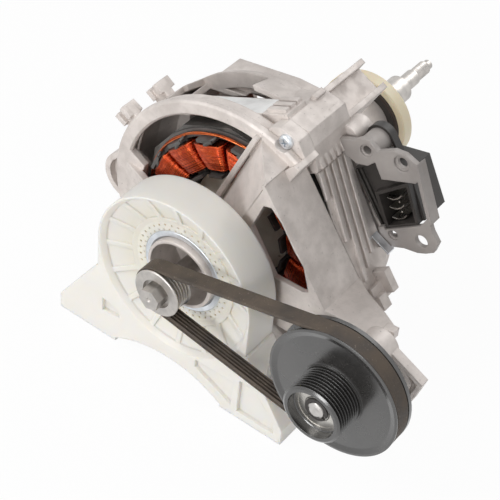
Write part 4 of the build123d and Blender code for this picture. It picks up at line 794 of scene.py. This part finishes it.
# %% Rubber ring
lip = [(27.0, 203.2), (27.4, 202.7), (28.2, 202.3), (29.0, 202.5), (29.8, 202.3), (30.5, 202.8),
       (31.0, 203.8), (31.0, 212.2), (30.6, 212.8), (30.1, 212.4), (29.4, 211.2), (28.5, 210.0),
       (27.6, 209.4), (27.0, 209.2)]
rubber = outline("mount_rubber", [outward(shaft, r, y, 0) for r, y in lip])
only(rubber)
bpy.ops.object.mode_set(mode="EDIT")
bpy.ops.mesh.select_all(action="SELECT")
bpy.ops.mesh.spin(steps=96, angle=math.radians(360), center=shaft, axis=(0, 1, 0))
bpy.ops.object.mode_set(mode="OBJECT")
tidy_mesh(rubber, 40)
place_piece(rubber, "rubber", "rear_mount", "brown_rubber", "rear_rubber_ring")

# %% [markdown]
# The clamp screws are zinc plated pan heads. The head is a short cylinder whose front edge is rounded
# by a bevel, and its shank is drawn out of an inset in the underside. Both faces are found by their
# place.

# %% Head and shank of a screw
head_radius, head_height, head_round = 4.9, 3.4, 1.9
shank_inset, shank_length = 2.7, 22


def pick_faces(made, wanted):
    """Enter edit mode with only the wanted faces selected."""
    only(made)
    bpy.ops.object.mode_set(mode="EDIT")
    bpy.ops.mesh.select_mode(type="FACE")
    bpy.ops.mesh.select_all(action="DESELECT")
    bpy.ops.object.mode_set(mode="OBJECT")
    for face in made.data.polygons:
        face.select = wanted(face)
    bpy.ops.object.mode_set(mode="EDIT")


def plain_screw(name, x, seat, z):
    """A pan head with its shank, whose underside sits on a seat across the shaft direction."""
    bpy.ops.object.select_all(action="DESELECT")
    bpy.ops.mesh.primitive_cylinder_add(vertices=48, radius=head_radius * mm, depth=head_height * mm,
                                        location=(x * mm, (seat - head_height / 2) * mm, z * mm),
                                        rotation=(math.radians(90), 0, 0))
    made = bpy.context.object
    made.name = name
    bpy.ops.object.transform_apply(location=True, rotation=True, scale=True)
    front, close = (seat - head_height) * mm, 0.001 * mm
    pick_faces(made, lambda face: abs(face.center.y - front) < close)
    bpy.ops.mesh.bevel(offset=head_round * mm, segments=6, affect="EDGES")
    bpy.ops.object.mode_set(mode="OBJECT")
    pick_faces(made, lambda face: abs(face.center.y - seat * mm) < close)
    bpy.ops.mesh.inset(thickness=shank_inset * mm)
    bpy.ops.mesh.extrude_region_move(TRANSFORM_OT_translate={"value": (0, shank_length * mm, 0)})
    bpy.ops.object.mode_set(mode="OBJECT")
    return made


print("head", 2 * head_radius, "mm across, shank", round(2 * (head_radius - shank_inset), 1))

# %% [markdown]
# The cross recess is cut by a cross that is extruded from in front of the head. The Boolean modifier
# subtracts it and is then applied.

# %% Cross recess
arm_half, arm_reach, cross_turn = 0.55, 2.5, 25
cutter_before, cutter_length = 1.0, 2.8


def cut_recess(made, x, front, z):
    """Cut a cross into a head whose front lies across the shaft direction."""
    arms = []
    for quarter in range(4):
        degrees = 90 * quarter + cross_turn
        c, s = math.cos(math.radians(degrees)), math.sin(math.radians(degrees))
        for across, out in ((-arm_half, arm_half), (-arm_half, arm_reach), (arm_half, arm_reach)):
            arms.append(((out * c - across * s + x) * mm, (front - cutter_before) * mm,
                         (out * s + across * c + z) * mm))
    cutter = outline("recess_cutter", arms)
    only(cutter)
    bpy.ops.object.mode_set(mode="EDIT")
    bpy.ops.mesh.select_all(action="SELECT")
    bpy.ops.mesh.edge_face_add()
    bpy.ops.mesh.extrude_region_move(TRANSFORM_OT_translate={"value": (0, cutter_length * mm, 0)})
    bpy.ops.mesh.select_all(action="SELECT")
    bpy.ops.mesh.normals_make_consistent(inside=False)
    bpy.ops.object.mode_set(mode="OBJECT")
    only(made)
    cut = made.modifiers.new("recess", "BOOLEAN")
    cut.operation = "DIFFERENCE"
    cut.object = cutter
    bpy.ops.object.modifier_apply(modifier="recess")
    bpy.data.objects.remove(cutter)
    bpy.ops.object.shade_smooth_by_angle(angle=math.radians(30))


print("recess", 2 * arm_reach, "mm across,", round(cutter_length - cutter_before, 1), "deep")

# %% [markdown]
# One screw sits at the top of the clamp, and two sit in the lower lugs, at equal distance from the
# shaft. They are joined into one piece, as the CAD node holds all three.

# %% Clamp screws
lug_radius, lug_seat, lug_angles = 103.0, 49.0, (205, 325)
seats = [(33.0, 51.0, 182.0)]
for degrees in lug_angles:
    seats.append((math.cos(math.radians(degrees)) * lug_radius, lug_seat,
                  88 + math.sin(math.radians(degrees)) * lug_radius))
screws = []
for x, seat, z in seats:
    screws.append(plain_screw("clamp_screw", x, seat, z))
    cut_recess(screws[-1], x, seat - head_height, z)
only(*screws)
bpy.ops.object.join()
clamp = bpy.context.object
clamp.name = "clamp_screw_set"
place_piece(clamp, "zinc", "motor", "zinc_steel", "clamp_screws")

# %% [markdown]
# ## Studio
# The object stands on a white floor under large soft lights. The floor is white to the camera but still
# takes the object's shadow, so it mixes a plain white surface with an even glow that only the camera,
# reflections and glass see.

# %% Floor
floor_size, floor_drop, glow_share = 8.0, 0.2 * mm, 0.95


def background_rays(tree):
    """1 for a ray that shows the background: from the camera, off a gloss or through glass."""
    ray = node(tree, "LightPath").outputs
    seen = maths(tree, "MAXIMUM", ray["Is Camera Ray"], ray["Is Glossy Ray"])
    return maths(tree, "MAXIMUM", seen, ray["Is Transmission Ray"])


bpy.ops.object.select_all(action="DESELECT")
bpy.ops.mesh.primitive_plane_add(size=floor_size, location=(0, 0, -floor_drop))
floor = bpy.context.object
floor.name = "studio_floor"
paper = bpy.data.materials.new("white_paper")
paper.use_nodes = True
tree = paper.node_tree
surface = tree.nodes["Principled BSDF"]
surface.inputs["Base Color"].default_value = colour(0.86, 0.86, 0.86)
surface.inputs["Roughness"].default_value = 0.9
glow = node(tree, "Emission", {"Color": colour(1, 1, 1), "Strength": 1.0})
share = maths(tree, "MULTIPLY", background_rays(tree), glow_share)
both = node(tree, "MixShader", {0: share, 1: surface.outputs["BSDF"], 2: glow.outputs["Emission"]})
tree.links.new(both.outputs["Shader"], tree.nodes["Material Output"].inputs["Surface"])
floor.data.materials.append(paper)
print("floor", floor.name)

# %% [markdown]
# The sky is a plain white room. The camera and the reflections see it white, and it lights the object at
# a lower level, so that the lamps can model the forms.

# %% Room
room_light = 0.36
world = bpy.data.worlds.new("white_room")
bpy.context.scene.world = world
world.use_nodes = True
tree = world.node_tree
background = tree.nodes["Background"]
tree.links.new(spread(tree, background_rays(tree), room_light, 1.0), background.inputs["Strength"])
background.inputs["Color"].default_value = colour(1, 1, 1)
print("room", world.name)

# %% [markdown]
# Four square lamps look at the middle of the object. The key stands high on the left, a stronger one
# fills the belt side from the front, a weak one lights the right side, and one lights the back for the
# other views.

# %% Lamps
def soft_lamp(name, place, aim, size, watts):
    """A square soft lamp that looks at a point."""
    bpy.ops.object.light_add(type="AREA", location=place)
    lamp = bpy.context.object
    lamp.name = name
    lamp.data.size = size
    lamp.data.energy = watts
    lamp.rotation_euler = (Vector(aim) - Vector(place)).to_track_quat("-Z", "Y").to_euler()


object_middle = (0.03, 0.06, 0.09)
soft_lamp("key_lamp", (-0.55, -0.65, 1.15), object_middle, size=0.7, watts=6.5)
soft_lamp("side_lamp", (1.15, -0.25, 0.75), object_middle, size=0.8, watts=0.8)
soft_lamp("rear_lamp", (0.1, 1.1, 0.9), object_middle, size=0.8, watts=4.5)
soft_lamp("front_lamp", (0.1, -1.2, 0.5), object_middle, size=0.5, watts=7.5)

# %% [markdown]
# The scene is dressed and lit. The dressed object has to keep to the box of the CAD model.

# %% Finish
print("scene dressed")
